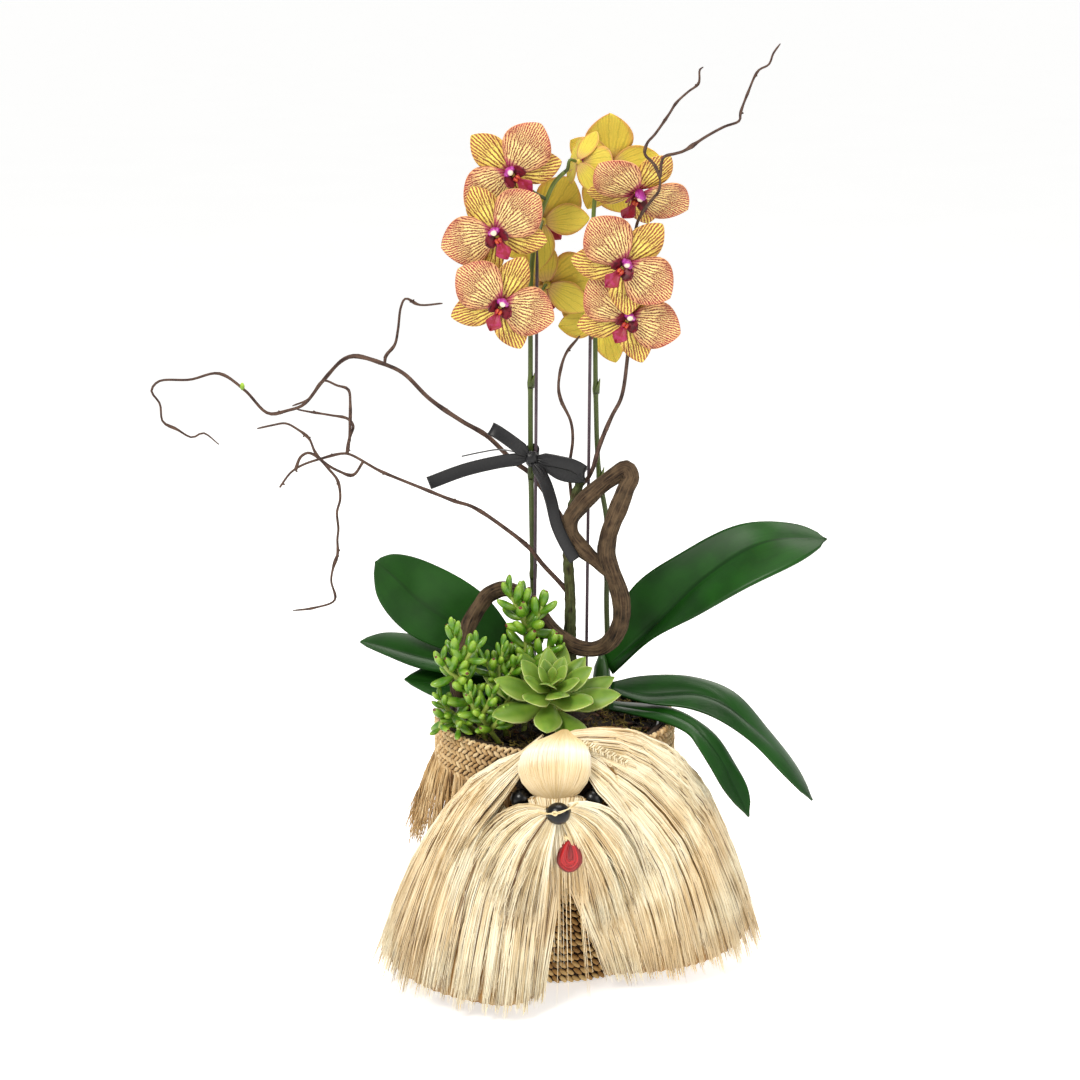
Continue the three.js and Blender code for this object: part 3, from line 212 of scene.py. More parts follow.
class Modeller(Shape):
    """A mesh under construction, whose points carry a tone that its finish reads."""

    def __init__(self) -> None:
        """Starts an empty mesh with a UV map and a tone for each point."""
        self.mesh = bmesh.new()
        self.uv = self.mesh.loops.layers.uv.new("UVMap")
        self.tone = self.mesh.verts.layers.float.new(TONE)

    def sheet(
        self,
        columns: int,
        rows: int,
        surface: Surface,
        tone: float | Surface = 0.5,
        chart: Surface | None = None,
        finish: int = 0,
    ) -> list:
        """Carries a grid onto a surface.

        Args:
            columns: steps across.
            rows: steps along.
            surface: turns shares along and across into places in millimetres.
            tone: one tone, or a formula of the shares.
            chart: turns the shares into UV places, where the plain shares don't do.
            finish: index of the finish.

        Returns:
            The grid's points.
        """
        made = bmesh.ops.create_grid(
            self.mesh, x_segments=columns, y_segments=rows, size=0.5, calc_uvs=True
        )["verts"]
        across = np.array([point.co.x for point in made]) + 0.5
        along = np.array([point.co.y for point in made]) + 0.5
        places = surface(along, across) * MM
        tones = tone(along, across) if callable(tone) else np.full(len(made), tone)
        for point, place, value in zip(made, places, tones):
            point.co = place
            point[self.tone] = value
        if chart:
            for point, place in zip(made, chart(along, across)):
                for loop in point.link_loops:
                    loop[self.uv].uv = place
        if finish:
            for face in {face for point in made for face in point.link_faces}:
                face.material_index = finish
        return made

    def closed(self, points: list) -> None:
        """Welds a grid's meeting edges and fills the openings that are left."""
        bmesh.ops.remove_doubles(self.mesh, verts=points, dist=1e-6)
        kept = [point for point in points if point.is_valid]
        edges = {edge for point in kept for edge in point.link_edges if edge.is_boundary}
        if edges:
            bmesh.ops.holes_fill(self.mesh, edges=list(edges), sides=0)
        faces = list({face for point in kept for face in point.link_faces})
        bmesh.ops.recalc_face_normals(self.mesh, faces=faces)

    def tube(
        self,
        path: Array,
        radius: Surface | float,
        sides: int,
        tone: float | Surface = 0.5,
        finish: int = 0,
    ) -> None:
        """Carries a closed round section along a path.

        Args:
            path: places along the middle, in millimetres.
            radius: one radius, or a formula of the shares along and round.
            sides: steps round.
            tone: one tone, or a formula of the shares.
            finish: index of the finish.
        """
        side, lift = carried(path)
        last = len(path) - 1

        def surface(along: Array, across: Array) -> Array:
            """Places on the tube's skin."""
            row = np.rint(along * last).astype(int)
            angle = (2 * pi * across)[:, None]
            reach = np.asarray(radius(along, across) if callable(radius) else np.full(len(along), radius))
            return path[row] + reach[:, None] * (np.cos(angle) * side[row] + np.sin(angle) * lift[row])

        self.closed(self.sheet(sides, last, surface, tone, finish=finish))

    def ball(
        self,
        across: int,
        down: int,
        form: Callable[[Array], Array],
        tone: float | Callable[[Array], Array] = 0.5,
        finish: int = 0,
        cap: int = 0,
    ) -> None:
        """Shapes a unit ball.

        Args:
            across: steps round it.
            down: steps from pole to pole.
            form: turns its points into places in millimetres.
            tone: one tone, or a formula of its points.
            finish: index of the finish.
            cap: index of the finish round the upper pole.
        """
        made = bmesh.ops.create_uvsphere(
            self.mesh, u_segments=across, v_segments=down, radius=1, calc_uvs=True
        )["verts"]
        points = np.array([point.co for point in made])
        tones = tone(points) if callable(tone) else np.full(len(made), tone)
        for point, place, value in zip(made, form(points) * MM, tones):
            point.co = place
            point[self.tone] = value
            for face in point.link_faces:
                face.material_index = finish
        for face in made[int(np.argmax(points[:, 2]))].link_faces:
            face.material_index = cap or finish

    def shaped(self, name: str) -> bpy.types.Mesh:
        """Makes the finished mesh."""
        mesh = bpy.data.meshes.new(name)
        for face in self.mesh.faces:
            face.smooth = True
        self.mesh.to_mesh(mesh)
        self.mesh.free()
        return mesh


class Repeats(Shape):
    """One small ball repeated many times, each copy with its own form and tone."""

    def __init__(self, across: int, down: int) -> None:
        """Makes the ball that is repeated."""
        shape = bmesh.new()
        bmesh.ops.create_uvsphere(shape, u_segments=across, v_segments=down, radius=1, calc_uvs=True)
        self.ball = bpy.data.meshes.new("ball")
        shape.to_mesh(self.ball)
        self.points = np.array([point.co for point in shape.verts])
        shape.free()
        self.places: list[Array] = []
        self.tones: list[float] = []

    def add(self, places: Array, tone: float) -> None:
        """Adds a copy whose points stand at places in millimetres."""
        self.places.append(places)
        self.tones.append(tone)

    def shaped(self, name: str) -> bpy.types.Mesh:
        """Joins the copies in one mesh."""
        shape = bmesh.new()
        for _ in self.places:
            shape.from_mesh(self.ball)
        for face in shape.faces:
            face.smooth = True
        mesh = bpy.data.meshes.new(name)
        shape.to_mesh(mesh)
        shape.free()
        mesh.vertices.foreach_set("co", (np.concatenate(self.places) * MM).ravel())
        tones = np.repeat(self.tones, len(self.points))
        mesh.attributes.new(TONE, "FLOAT", "POINT").data.foreach_set("value", tones)
        mesh.update()
        return mesh


class Strands(Shape):
    """Thin round strands that become one mesh, each with a tone of its own."""

    SIDES = 4

    def __init__(self) -> None:
        """Starts with no strand."""
        self.paths: list[Array] = []
        self.radii: list[Array] = []
        self.tones: list[float] = []

    def add(self, path: Array, radius: float | Array, tone: float) -> None:
        """Adds a strand through places in millimetres, with one radius or one at each of them."""
        self.paths.append(path * MM)
        self.radii.append(np.full(len(path), radius))
        self.tones.append(tone)

    def shaped(self, name: str) -> bpy.types.Mesh:
        """Joins the strands in one mesh, with their ends closed."""
        curve = bpy.data.curves.new(name, "CURVE")
        curve.dimensions = "3D"
        curve.fill_mode = "FULL"
        curve.bevel_depth = MM
        curve.bevel_resolution = 0
        curve.use_fill_caps = True
        for path, radius in zip(self.paths, self.radii):
            spline = curve.splines.new("POLY")
            spline.points.add(len(path) - 1)
            spline.points.foreach_set("co", np.column_stack([path, np.ones(len(path))]).ravel())
            spline.points.foreach_set("radius", radius)
        holder = bpy.data.objects.new(name, curve)
        mesh = bpy.data.meshes.new_from_object(holder)
        bpy.data.objects.remove(holder)
        bpy.data.curves.remove(curve)
        counts = np.array([len(path) for path in self.paths])
        caps = np.tile(np.repeat([1.0, 0.0], self.SIDES), len(counts))
        along = np.concatenate([caps, *(np.repeat(np.linspace(0, 1, n), self.SIDES) for n in counts)])
        tones = np.r_[
            np.repeat(self.tones[::-1], 2 * self.SIDES), np.repeat(self.tones, counts * self.SIDES)
        ]
        mesh.attributes.new(TONE, "FLOAT", "POINT").data.foreach_set("value", tones)
        corners = np.empty(len(mesh.loops), int)
        mesh.loops.foreach_get("vertex_index", corners)
        mesh.uv_layers["UVMap"].data.foreach_set("uv", np.column_stack([tones, along])[corners].ravel())
        mesh.polygons.foreach_set("use_smooth", np.ones(len(mesh.polygons), bool))
        mesh.name = name
        return mesh


def thicken(piece: bpy.types.Object, thickness: float, back: int = 0) -> None:
    """Gives a sheet its wall, half on either side.

    Args:
        piece: the sheet.
        thickness: the wall in millimetres.
        back: how many finishes further the far face's finish is.
    """
    wall = piece.modifiers.new("wall", "SOLIDIFY")
    wall.thickness = thickness * MM
    wall.offset = 0.0
    wall.material_offset = back


# Finishes


def colour(code: str) -> tuple[float, float, float, float]:
    """Reads a six-figure screen colour as linear light."""
    parts = [int(code[k : k + 2], 16) / 255 for k in (0, 2, 4)]
    red, green, blue = (p / 12.92 if p <= 0.04045 else ((p + 0.055) / 1.055) ** 2.4 for p in parts)
    return red, green, blue, 1.0


class Bench:
    """A node tree under construction."""

    def __init__(self, tree: bpy.types.NodeTree) -> None:
        """Takes the tree to build in."""
        self.tree = tree

    def node(self, kind: str, *values: object, **settings: object) -> bpy.types.Node:
        """Adds a node, sets its options and feeds its inputs in their order."""
        made = self.tree.nodes.new("ShaderNode" + kind)
        for key, value in settings.items():
            setattr(made, key, value)
        for socket, value in zip(made.inputs, values):
            self.feed(socket, value)
        return made

    def feed(self, socket: Socket, value: object) -> None:
        """Links a socket to another, or sets its constant."""
        if isinstance(value, Socket):
            self.tree.links.new(value, socket)
        else:
            socket.default_value = value

    def math(self, operation: str, *values: object) -> Socket:
        """Works out one value from others."""
        return self.node("Math", *values, operation=operation).outputs[0]

    def times(self, first: object, second: object) -> Socket:
        """Multiplies two values."""
        return self.math("MULTIPLY", first, second)

    def swayed(self, value: object, by: object, amount: float) -> Socket:
        """Moves a value up and down with another one that lies between 0 and 1."""
        return self.math("MULTIPLY_ADD", self.math("SUBTRACT", by, 0.5), amount, value)

    def ramp(self, value: object, *stops: tuple[float, str]) -> Socket:
        """Turns a value into a colour through stops of place and colour code."""
        made = self.node("ValToRGB", value)
        elements = made.color_ramp.elements
        while len(elements) < len(stops):
            elements.new(0.5)
        for element, (place, code) in zip(elements, stops):
            element.position = place
            element.color = colour(code)
        return made.outputs[0]

    def step(self, value: object, low: float, high: float) -> Socket:
        """Rises smoothly from 0 at low to 1 at high, or falls where high is the lower one."""
        ends = (low, high, 0.0, 1.0) if low < high else (high, low, 1.0, 0.0)
        return self.node("MapRange", value, *ends, interpolation_type="SMOOTHSTEP").outputs[0]

    def mix(self, share: object, first: object, second: object, way: str = "MIX") -> Socket:
        """Mixes two colours, each a socket or a colour code."""
        made = self.node("Mix", data_type="RGBA", blend_type=way)
        self.feed(made.inputs[0], share)
        self.feed(made.inputs[6], colour(first) if isinstance(first, str) else first)
        self.feed(made.inputs[7], colour(second) if isinstance(second, str) else second)
        return made.outputs[2]

    def blend(self, share: object, first: object, second: object) -> Socket:
        """Mixes two values."""
        made = self.node("Mix", data_type="FLOAT")
        for socket, value in zip((made.inputs[0], made.inputs[2], made.inputs[3]), (share, first, second)):
            self.feed(socket, value)
        return made.outputs[0]

    def noise(self, place: object, scale: object, detail: float) -> Socket:
        """Reads smooth random values."""
        made = self.node("TexNoise")
        self.feed(made.inputs["Vector"], place)
        self.feed(made.inputs["Scale"], scale)
        self.feed(made.inputs["Detail"], detail)
        return made.outputs["Fac"]

    def parts(self, vector: object) -> Sockets:
        """Takes a vector apart."""
        return self.node("SeparateXYZ", vector).outputs

    def join(self, *values: object) -> Socket:
        """Joins three values in a vector."""
        return self.node("CombineXYZ", *values).outputs[0]

    def chart(self) -> Socket:
        """Reads the piece's own UV map."""
        return self.node("UVMap", uv_map="UVMap").outputs[0]

    def place(self) -> Socket:
        """Reads the place in the object's own frame."""
        return self.node("TexCoord").outputs["Object"]

    def along(self) -> Socket:
        """Reads the share along the piece."""
        return self.parts(self.chart())[1]

    def tone(self) -> Socket:
        """Reads the tone that the points carry."""
        return self.node("Attribute", attribute_name=TONE).outputs["Fac"]

    def effect(self, tree: bpy.types.NodeTree, **values: object) -> Socket:
        """Places a shared effect with its own values."""
        made = self.node("Group", node_tree=tree)
        for key, value in values.items():
            self.feed(made.inputs[key], value)
        return made.outputs[0]

    def fibres(self, across: float, along: float) -> Socket:
        """Places long streaks along the piece."""
        return self.effect(streaks(), Vector=self.chart(), Across=across, Along=along)

    def patches(self, scale: float) -> Socket:
        """Places soft patches."""
        return self.effect(mottle(), Vector=self.place(), Scale=scale)

    def relief(self, shader: bpy.types.Node, height: object, depth: float, strength: float) -> None:
        """Raises the surface by a height between 0 and 1 that stands for a depth in millimetres."""
        made = self.node("Bump")
        self.feed(made.inputs["Strength"], strength)
        self.feed(made.inputs["Distance"], depth * MM)
        self.feed(made.inputs["Height"], height)
        self.feed(shader.inputs["Normal"], made.outputs[0])


def effect_tree(name: str, inputs: dict[str, float | None], build: Callable) -> bpy.types.NodeTree:
    """Builds a shared effect once.

    Args:
        name: its name.
        inputs: its inputs and their values, where None stands for a vector.
        build: takes a bench and the inputs' sockets and gives the value to put out.

    Returns:
        The node group, new or already built.
    """
    tree = bpy.data.node_groups.get(name)
    if tree:
        return tree
    tree = bpy.data.node_groups.new(name, "ShaderNodeTree")
    for key, value in inputs.items():
        kind = "NodeSocketVector" if value is None else "NodeSocketFloat"
        socket = tree.interface.new_socket(key, in_out="INPUT", socket_type=kind)
        if value is not None:
            socket.default_value = value
    tree.interface.new_socket("Value", in_out="OUTPUT", socket_type="NodeSocketFloat")
    bench = Bench(tree)
    entry, leave = tree.nodes.new("NodeGroupInput"), tree.nodes.new("NodeGroupOutput")
    bench.feed(leave.inputs[0], build(bench, entry.outputs))
    return tree


def streaks() -> bpy.types.NodeTree:
    """Long soft streaks, as of fibres, grain or bark."""

    def build(bench: Bench, given: Sockets) -> Socket:
        """Stretches noise along the second axis."""
        x, y, z = bench.parts(given["Vector"])
        across, deep = bench.times(x, given["Across"]), bench.times(z, given["Across"])
        return bench.noise(bench.join(across, bench.times(y, given["Along"]), deep), 1.0, 4.0)

    return effect_tree("streaks", {"Vector": None, "Across": 100.0, "Along": 4.0}, build)


def veins() -> bpy.types.NodeTree:
    """Veins that fan out from the foot of a blade charted in its own flat shape, and fork on the way."""

    def build(bench: Bench, given: Sockets) -> Socket:
        """Draws the fan's lines, then twice more with new lines between the old ones."""
        x, y, _ = bench.parts(given["Vector"])
        broad = bench.math("SUBTRACT", bench.noise(given["Vector"], 9.0, 2.0), 0.5)
        fine = bench.math("SUBTRACT", bench.noise(given["Vector"], 34.0, 1.0), 0.5)
        wobble = bench.math("MULTIPLY_ADD", fine, 0.5, broad)
        side = bench.math("MULTIPLY_ADD", wobble, given["Wobble"], bench.math("SUBTRACT", x, 0.5))
        spread = bench.math("POWER", bench.math("ADD", y, 0.06), 0.62)
        fan = bench.times(bench.math("DIVIDE", side, spread), given["Count"])
        lines = 0.0
        for fold, start in ((1, -1.0), (2, 0.16), (4, 0.5)):
            phase = bench.math("FRACT", bench.times(fan, float(fold)))
            far = bench.math("SUBTRACT", 0.5, bench.math("ABSOLUTE", bench.math("SUBTRACT", phase, 0.5)))
            gap = bench.math("DIVIDE", bench.times(far, spread), given["Width"])
            line = bench.step(gap, 1.35 * fold, 0.6 * fold)
            begun = bench.step(bench.math("MULTIPLY_ADD", wobble, 0.5, y), start - 0.06, start + 0.1)
            forked = bench.times(begun, 1.0 if fold == 1 else given["Forks"])
            lines = bench.math("MAXIMUM", lines, bench.times(line, forked))
        return lines

    inputs = {"Vector": None, "Count": 5.0, "Width": 0.05, "Wobble": 0.09, "Forks": 1.0}
    return effect_tree("veins", inputs, build)


def mottle() -> bpy.types.NodeTree:
    """Soft patches of unevenness in place."""

    def build(bench: Bench, given: Sockets) -> Socket:
        """Reads noise and sharpens it."""
        return bench.step(bench.noise(given["Vector"], given["Scale"], 4.0), 0.32, 0.68)

    return effect_tree("mottle", {"Vector": None, "Scale": 60.0}, build)


@dataclass(frozen=True)
class Finish:
    """A surface that pieces are dressed in."""

    name: str
    _: KW_ONLY
    roughness: float = 0.5
    coat: float = 0.0
    sheen: float = 0.0
    glow: float = 0.0
    shine: float = 0.5

    def paint(self, bench: Bench) -> Look:
        """Makes the colour, and the height, depth in millimetres and strength of the relief."""
        raise NotImplementedError

    def material(self) -> bpy.types.Material:
        """Builds the material, or finds the one already built."""
        made = bpy.data.materials.get(self.name)
        if made:
            return made
        made = bpy.data.materials.new(self.name)
        made.use_nodes = True
        shader = made.node_tree.nodes[SHADER]
        settings = {
            "Roughness": self.roughness, "Specular IOR Level": self.shine, "Sheen Weight": self.sheen,
            "Coat Weight": self.coat, "Coat Roughness": 0.12,
            "Subsurface Weight": self.glow, "Subsurface Scale": 0.004,
        }
        for socket, value in settings.items():
            shader.inputs[socket].default_value = value
        bench = Bench(made.node_tree)
        shade, height, depth, strength = self.paint(bench)
        bench.feed(shader.inputs["Base Color"], shade)
        bench.relief(shader, height, depth, strength)
        return made


@dataclass(frozen=True)
class Fibre(Finish):
    """Fibre: tones from strand to strand and streaks along each."""

    dark: str
    middle: str
    light: str
    across: float = 40.0
    along: float = 3.0
    depth: float = 0.3
    share: float = 0.45
    tint: str = "D2A055"
    tinted: float = 0.0
    # band: the share of a painted highlight, a white band halfway along each strand
    band: float = 0.0

    def paint(self, bench: Bench) -> Look:
        """Mixes the strand's tone with streaks, a broad tint and, where set, a painted highlight band halfway
        along.
        """
        grain = bench.fibres(self.across, self.along)
        own = bench.times(bench.tone(), 1.0 - self.share)
        value = bench.swayed(bench.math("MULTIPLY_ADD", grain, self.share, own), bench.patches(45.0), 0.12)
        shade = bench.ramp(value, (0.18, self.dark), (0.45, self.middle), (0.78, self.light))
        broad = bench.step(bench.noise(bench.place(), 13.0, 1.0), 0.45, 0.62)
        shade = bench.mix(bench.times(broad, self.tinted), shade, self.tint, "MULTIPLY")
        # Painted highlight: a white band halfway along, on a ramp from golden at the top to darker tan at the
        # far end.
        if self.band:
            stops = (0.05, "D2A650"), (0.28, "EFD9A2"), (0.45, "FFFFFF"), (0.68, "DCC294"), (0.98, "A58248")
            shade = bench.mix(self.band, shade, bench.ramp(bench.along(), *stops))
        return shade, grain, self.depth, 1.0


@dataclass(frozen=True)
class PetalFace(Finish):
    """The face of a petal or sepal: a cream and gold ground under crimson veins."""

    ground: str = "EBD08A"
    blush: str = "C85A50"
    vein: str = "68041A"
    edge: str = "8E0C34"
    count: float = 5.0
    width: float = 0.077
    forks: float = 1.0
    broken: float = 0.55

    def paint(self, bench: Bench) -> Look:
        """Lays the ground, the veins, the blush towards the rim and the pink foot."""
        chart = bench.chart()
        along, rim = bench.parts(chart)[1], bench.tone()
        ground = bench.mix(bench.times(bench.step(rim, 0.3, 1.0), 0.55), self.ground, self.blush)
        net = bench.effect(
            veins(), Vector=chart, Count=self.count, Width=self.width, Wobble=0.065, Forks=self.forks
        )
        dots = bench.step(bench.noise(chart, 42.0, 2.0), 0.34, 0.5)
        net = bench.times(net, bench.blend(self.broken, 1.0, dots))
        net = bench.times(net, bench.step(rim, 1.0, 0.94))
        vein = bench.mix(bench.step(along, 0.45, 0.95), self.vein, self.edge)
        shade = bench.mix(bench.times(net, 0.95), ground, vein)
        foot = bench.times(bench.step(along, 0.17, 0.07), 0.8)
        return bench.mix(foot, shade, "96144E"), net, 0.25, 0.6


class PetalBack(Finish):
    """The back of a petal: mustard with faint olive veins and a pink foot."""

    def paint(self, bench: Bench) -> Look:
        """Lays the mustard, the veins and the pink foot."""
        lines = bench.effect(veins(), Vector=bench.chart(), Count=4.0, Width=0.08, Wobble=0.08, Forks=0.5)
        shade = bench.mix(bench.step(bench.tone(), 0.6, 1.0), "D4C04A", "C8944C")
        shade = bench.mix(bench.times(lines, 0.4), shade, "84802A")
        foot = bench.times(bench.step(bench.along(), 0.35, 0.05), 0.45)
        return bench.mix(foot, shade, "BE8270"), lines, 0.25, 0.6


@dataclass(frozen=True)
class Blended(Finish):
    """Three colours along the piece, with mottling and fine lines."""

    foot: str
    middle: str
    tip: str
    turn: float = 0.5
    lines: float = 0.0
    depth: float = 0.15

    def paint(self, bench: Bench) -> Look:
        """Runs the colours along the chart and adds the unevenness."""
        patch, fine = bench.patches(90.0), bench.fibres(46.0, 3.0)
        value = bench.swayed(bench.swayed(bench.along(), patch, 0.16), bench.tone(), 0.35)
        shade = bench.ramp(value, (0.02, self.foot), (self.turn, self.middle), (0.97, self.tip))
        shade = bench.mix(bench.times(fine, self.lines), shade, self.foot)
        return shade, bench.math("ADD", fine, patch), self.depth, 1.0


@dataclass(frozen=True)
class Margined(Finish):
    """A succulent leaf: green inside, yellower at its foot, with a pale line along its margin."""

    inside: str = "749432"
    deep: str = "42681C"
    foot: str = "A0B850"
    margin: str = "DCE69A"

    def paint(self, bench: Bench) -> Look:
        """Lays the inside, the foot and the margin."""
        patch = bench.patches(55.0)
        shade = bench.mix(bench.times(patch, 0.55), self.inside, self.deep)
        shade = bench.mix(bench.times(bench.step(bench.along(), 0.5, 0.1), 0.8), shade, self.foot)
        shade = bench.mix(bench.times(bench.step(bench.tone(), 0.4, 0.95), 0.5), shade, self.foot)
        line = bench.times(bench.step(bench.tone(), 0.9, 0.97), 0.85)
        return bench.mix(line, shade, self.margin), patch, 0.1, 0.5


@dataclass(frozen=True)
class Blade(Finish):
    """A strap leaf: a paler midrib, faint long veins and a waxy gloss."""

    ground: str
    deep: str
    rib: str
    rib_share: float

    def paint(self, bench: Bench) -> Look:
        """Lays the ground, the long veins and the midrib."""
        fine = bench.fibres(70.0, 2.0)
        shade = bench.mix(bench.times(bench.patches(22.0), 0.7), self.ground, self.deep)
        shade = bench.mix(bench.times(bench.step(fine, 0.5, 0.75), 0.3), shade, self.rib)
        middle = bench.math("ABSOLUTE", bench.math("SUBTRACT", bench.parts(bench.chart())[0], 0.5))
        rib = bench.times(bench.step(middle, 0.035, 0.008), self.rib_share)
        return bench.mix(rib, shade, self.rib), fine, 0.12, 0.7


@dataclass(frozen=True)
class Bark(Finish):
    """Wood: long cracks between ridges, with patches of another colour."""

    crack: str
    ridge: str
    patch: str
    across: float
    along: float
    depth: float
    amount: float = 0.5

    def paint(self, bench: Bench) -> Look:
        """Draws the cracks along the stem and the patches over them."""
        grain, rough = bench.fibres(self.across, self.along), bench.patches(110.0)
        shade = bench.ramp(grain, (0.36, self.crack), (0.52, self.ridge), (0.8, self.patch))
        shade = bench.mix(bench.times(rough, self.amount), shade, self.patch)
        return shade, bench.math("MULTIPLY_ADD", rough, 0.4, grain), self.depth, 1.0


@dataclass(frozen=True)
class Plain(Finish):
    """An even colour with soft unevenness in place."""

    ground: str
    other: str
    scale: float = 150.0
    depth: float = 0.1

    def paint(self, bench: Bench) -> Look:
        """Mixes the two colours in patches."""
        patch = bench.patches(self.scale)
        return bench.mix(patch, self.ground, self.other), patch, self.depth, 0.5


class Satin(Finish):
    """Ribbon satin: fine threads across the ribbon and a soft sheen."""

    def paint(self, bench: Bench) -> Look:
        """Draws the threads."""
        threads = bench.fibres(3.0, 260.0)
        return bench.ramp(threads, (0.3, "0B0B0C"), (0.7, "1C1C1F")), threads, 0.05, 0.6


@dataclass(frozen=True)
class Spotted(Finish):
    """A crest or lobe with spots of a second colour."""

    ground: str
    spot: str
    scale: float
    low: float = 0.5

    def paint(self, bench: Bench) -> Look:
        """Scatters the spots."""
        spots = bench.step(bench.noise(bench.place(), self.scale, 2.0), self.low, 0.58)
        return bench.mix(spots, self.ground, self.spot), spots, 0.1, 0.5


HAIR = Fibre(
    "hair_strand", "63421F", "DAC394", "FCF3D8", roughness=0.36, across=30.0, along=5.0, depth=0.05,
    share=0.25, tinted=0.4, tint="E8CA98",
)
# TUFT paints a highlight band across the middle of the tuft's strands and body.
TUFT = Fibre(
    "tuft_strand", "BC9A5C", "E2CB9C", "F8EBCA", roughness=0.34, across=30.0, depth=0.05, share=0.25,
    band=0.5,
)
# Painted shade: the under layers are a darker brown that stands in for the shadow in the gaps between locks.
HAIR_UNDER_SHADE = Fibre("hair_under", "5E3D1A", "A67C42", "E0C48E", across=260.0, along=4.0, depth=0.7, share=0.7)
TWINE = Fibre(
    "twine_stitch", "6E4A20", "AE8446", "D9BA7E", roughness=0.8, sheen=0.1, across=12.0, along=6.0,
    depth=0.5,
)
TWINE_LIGHT = Fibre(
    "twine_trim", "7E5C34", "BA9662", "E2C89A", roughness=0.8, sheen=0.1, across=12.0, along=6.0, depth=0.5,
)
TWINE_DARK = Fibre(
    "twine_shadow", "20140A", "3A2614", "5E4122", roughness=0.95, across=200.0, along=60.0, depth=1.0,
    share=0.7,
)
RAFFIA = Fibre("raffia_string", "A98752", "D6BA82", "EFDDB0", depth=0.2)
TONGUE_RED = Fibre(
    "tongue_raffia", "66040A", "96060E", "C40E18", roughness=0.38, coat=0.2, across=8.0, along=2.0,
)
BEAD = Plain("bead_gloss", "040405", "08080A", roughness=0.28, shine=0.35)
SOIL_FINISH = Plain("potting_soil", "1A110B", "38281A", roughness=0.95, scale=260.0, depth=2.0)
CHIP = Plain("bark_chip", "331F13", "5E3C24", roughness=0.9, scale=320.0, depth=0.8)
MOSS = Fibre("dry_moss", "33250F", "6E5C26", "9C8A42", roughness=0.9, depth=0.1)
LINER_FILM = Plain("liner_film", "050506", "0E0E10", roughness=0.35, scale=70.0, depth=1.2)
LEAF_TOP = Blade("leaf_upper", "16480C", "072805", "0A2C08", 0.7, roughness=0.38, shine=0.25)
LEAF_UNDER = Blade("leaf_under", "1E4E12", "10340A", "16380E", 0.6, roughness=0.48, shine=0.22)
CROWN_GREEN = Blended("crown_sheath", "4E6A2C", "2F5A20", "1C4718", roughness=0.4, coat=0.1, lines=0.3)
SPIKE_GREEN = Blended("flower_spike", "303812", "44541A", "64742A", roughness=0.45, lines=0.4)
STAKE_WOOD = Bark("stake_stain", "241A20", "463840", "5A4A52", 10.0, 1.5, 0.15, roughness=0.55, shine=0.3)
PETAL_FRONT = PetalFace("petal_net", roughness=0.55, glow=0.08, shine=0.3)
SEPAL_FRONT = PetalFace(
    "sepal_stripes", roughness=0.55, glow=0.08, shine=0.3, ground="E4CE66", blush="D09850", vein="620410",
    edge="80102A", count=2.7, width=0.07, forks=0.95, broken=0.45,
)
PETAL_BEHIND = PetalBack("petal_back", roughness=0.6, glow=0.08, shine=0.3)
LIP_CRIMSON = Spotted("lip_crimson", "6E0420", "4A0214", 160.0)
LIP_LOBE = Spotted("lip_lobe", "8A0428", "9A1A4C", 220.0)
CREST = Spotted("lip_crest", "C2541E", "A3182C", 700.0, roughness=0.4, low=0.45)
COLUMN_WHITE = Blended("column_cap", "7A0E4E", "A62C94", "EADCC0", roughness=0.35, coat=0.2, turn=0.82)
BEAN_GREEN = Blended(
    "stonecrop_bean", "8CAA3C", "45780F", "8FB236", roughness=0.34, coat=0.1, glow=0.08, depth=0.06,
)
BEAN_TIP = Plain("stonecrop_tip", "54300E", "6A1C18", roughness=0.4, coat=0.1, scale=300.0)
BEAN_STEM = Blended("stonecrop_stem", "7F8E34", "97A84A", "A3B85A", lines=0.2)
ROSETTE_LEAF = Margined("echeveria_leaf", roughness=0.45, glow=0.08, shine=0.4)
VINE_BARK = Bark(
    "vine_bark", "0C0805", "3C2C1E", "6E5A42", 34.0, 26.0, 1.6, roughness=0.92, shine=0.3, amount=0.45,
)
WILLOW_BARK = Bark(
    "willow_moss", "161209", "40391F", "56623A", 16.0, 12.0, 0.8, roughness=0.92, shine=0.3, amount=0.7,
)
TWIG_BARK = Bark(
    "willow_twig", "1C1110", "42302A", "6A5142", 5.0, 30.0, 0.3, roughness=0.8, shine=0.3, amount=0.4,
)
BUD_GREEN = Blended("twig_bud", "4E6A1E", "7FA32A", "A8CA44")
RIBBON_SATIN = Satin("ribbon_satin", roughness=0.4, shine=0.35)
STUDIO_FLOOR = Plain("studio_floor", "EFEFED", "F1F1EF", roughness=0.8, shine=0.2, scale=2.0, depth=0.0)


# Basket and its trim


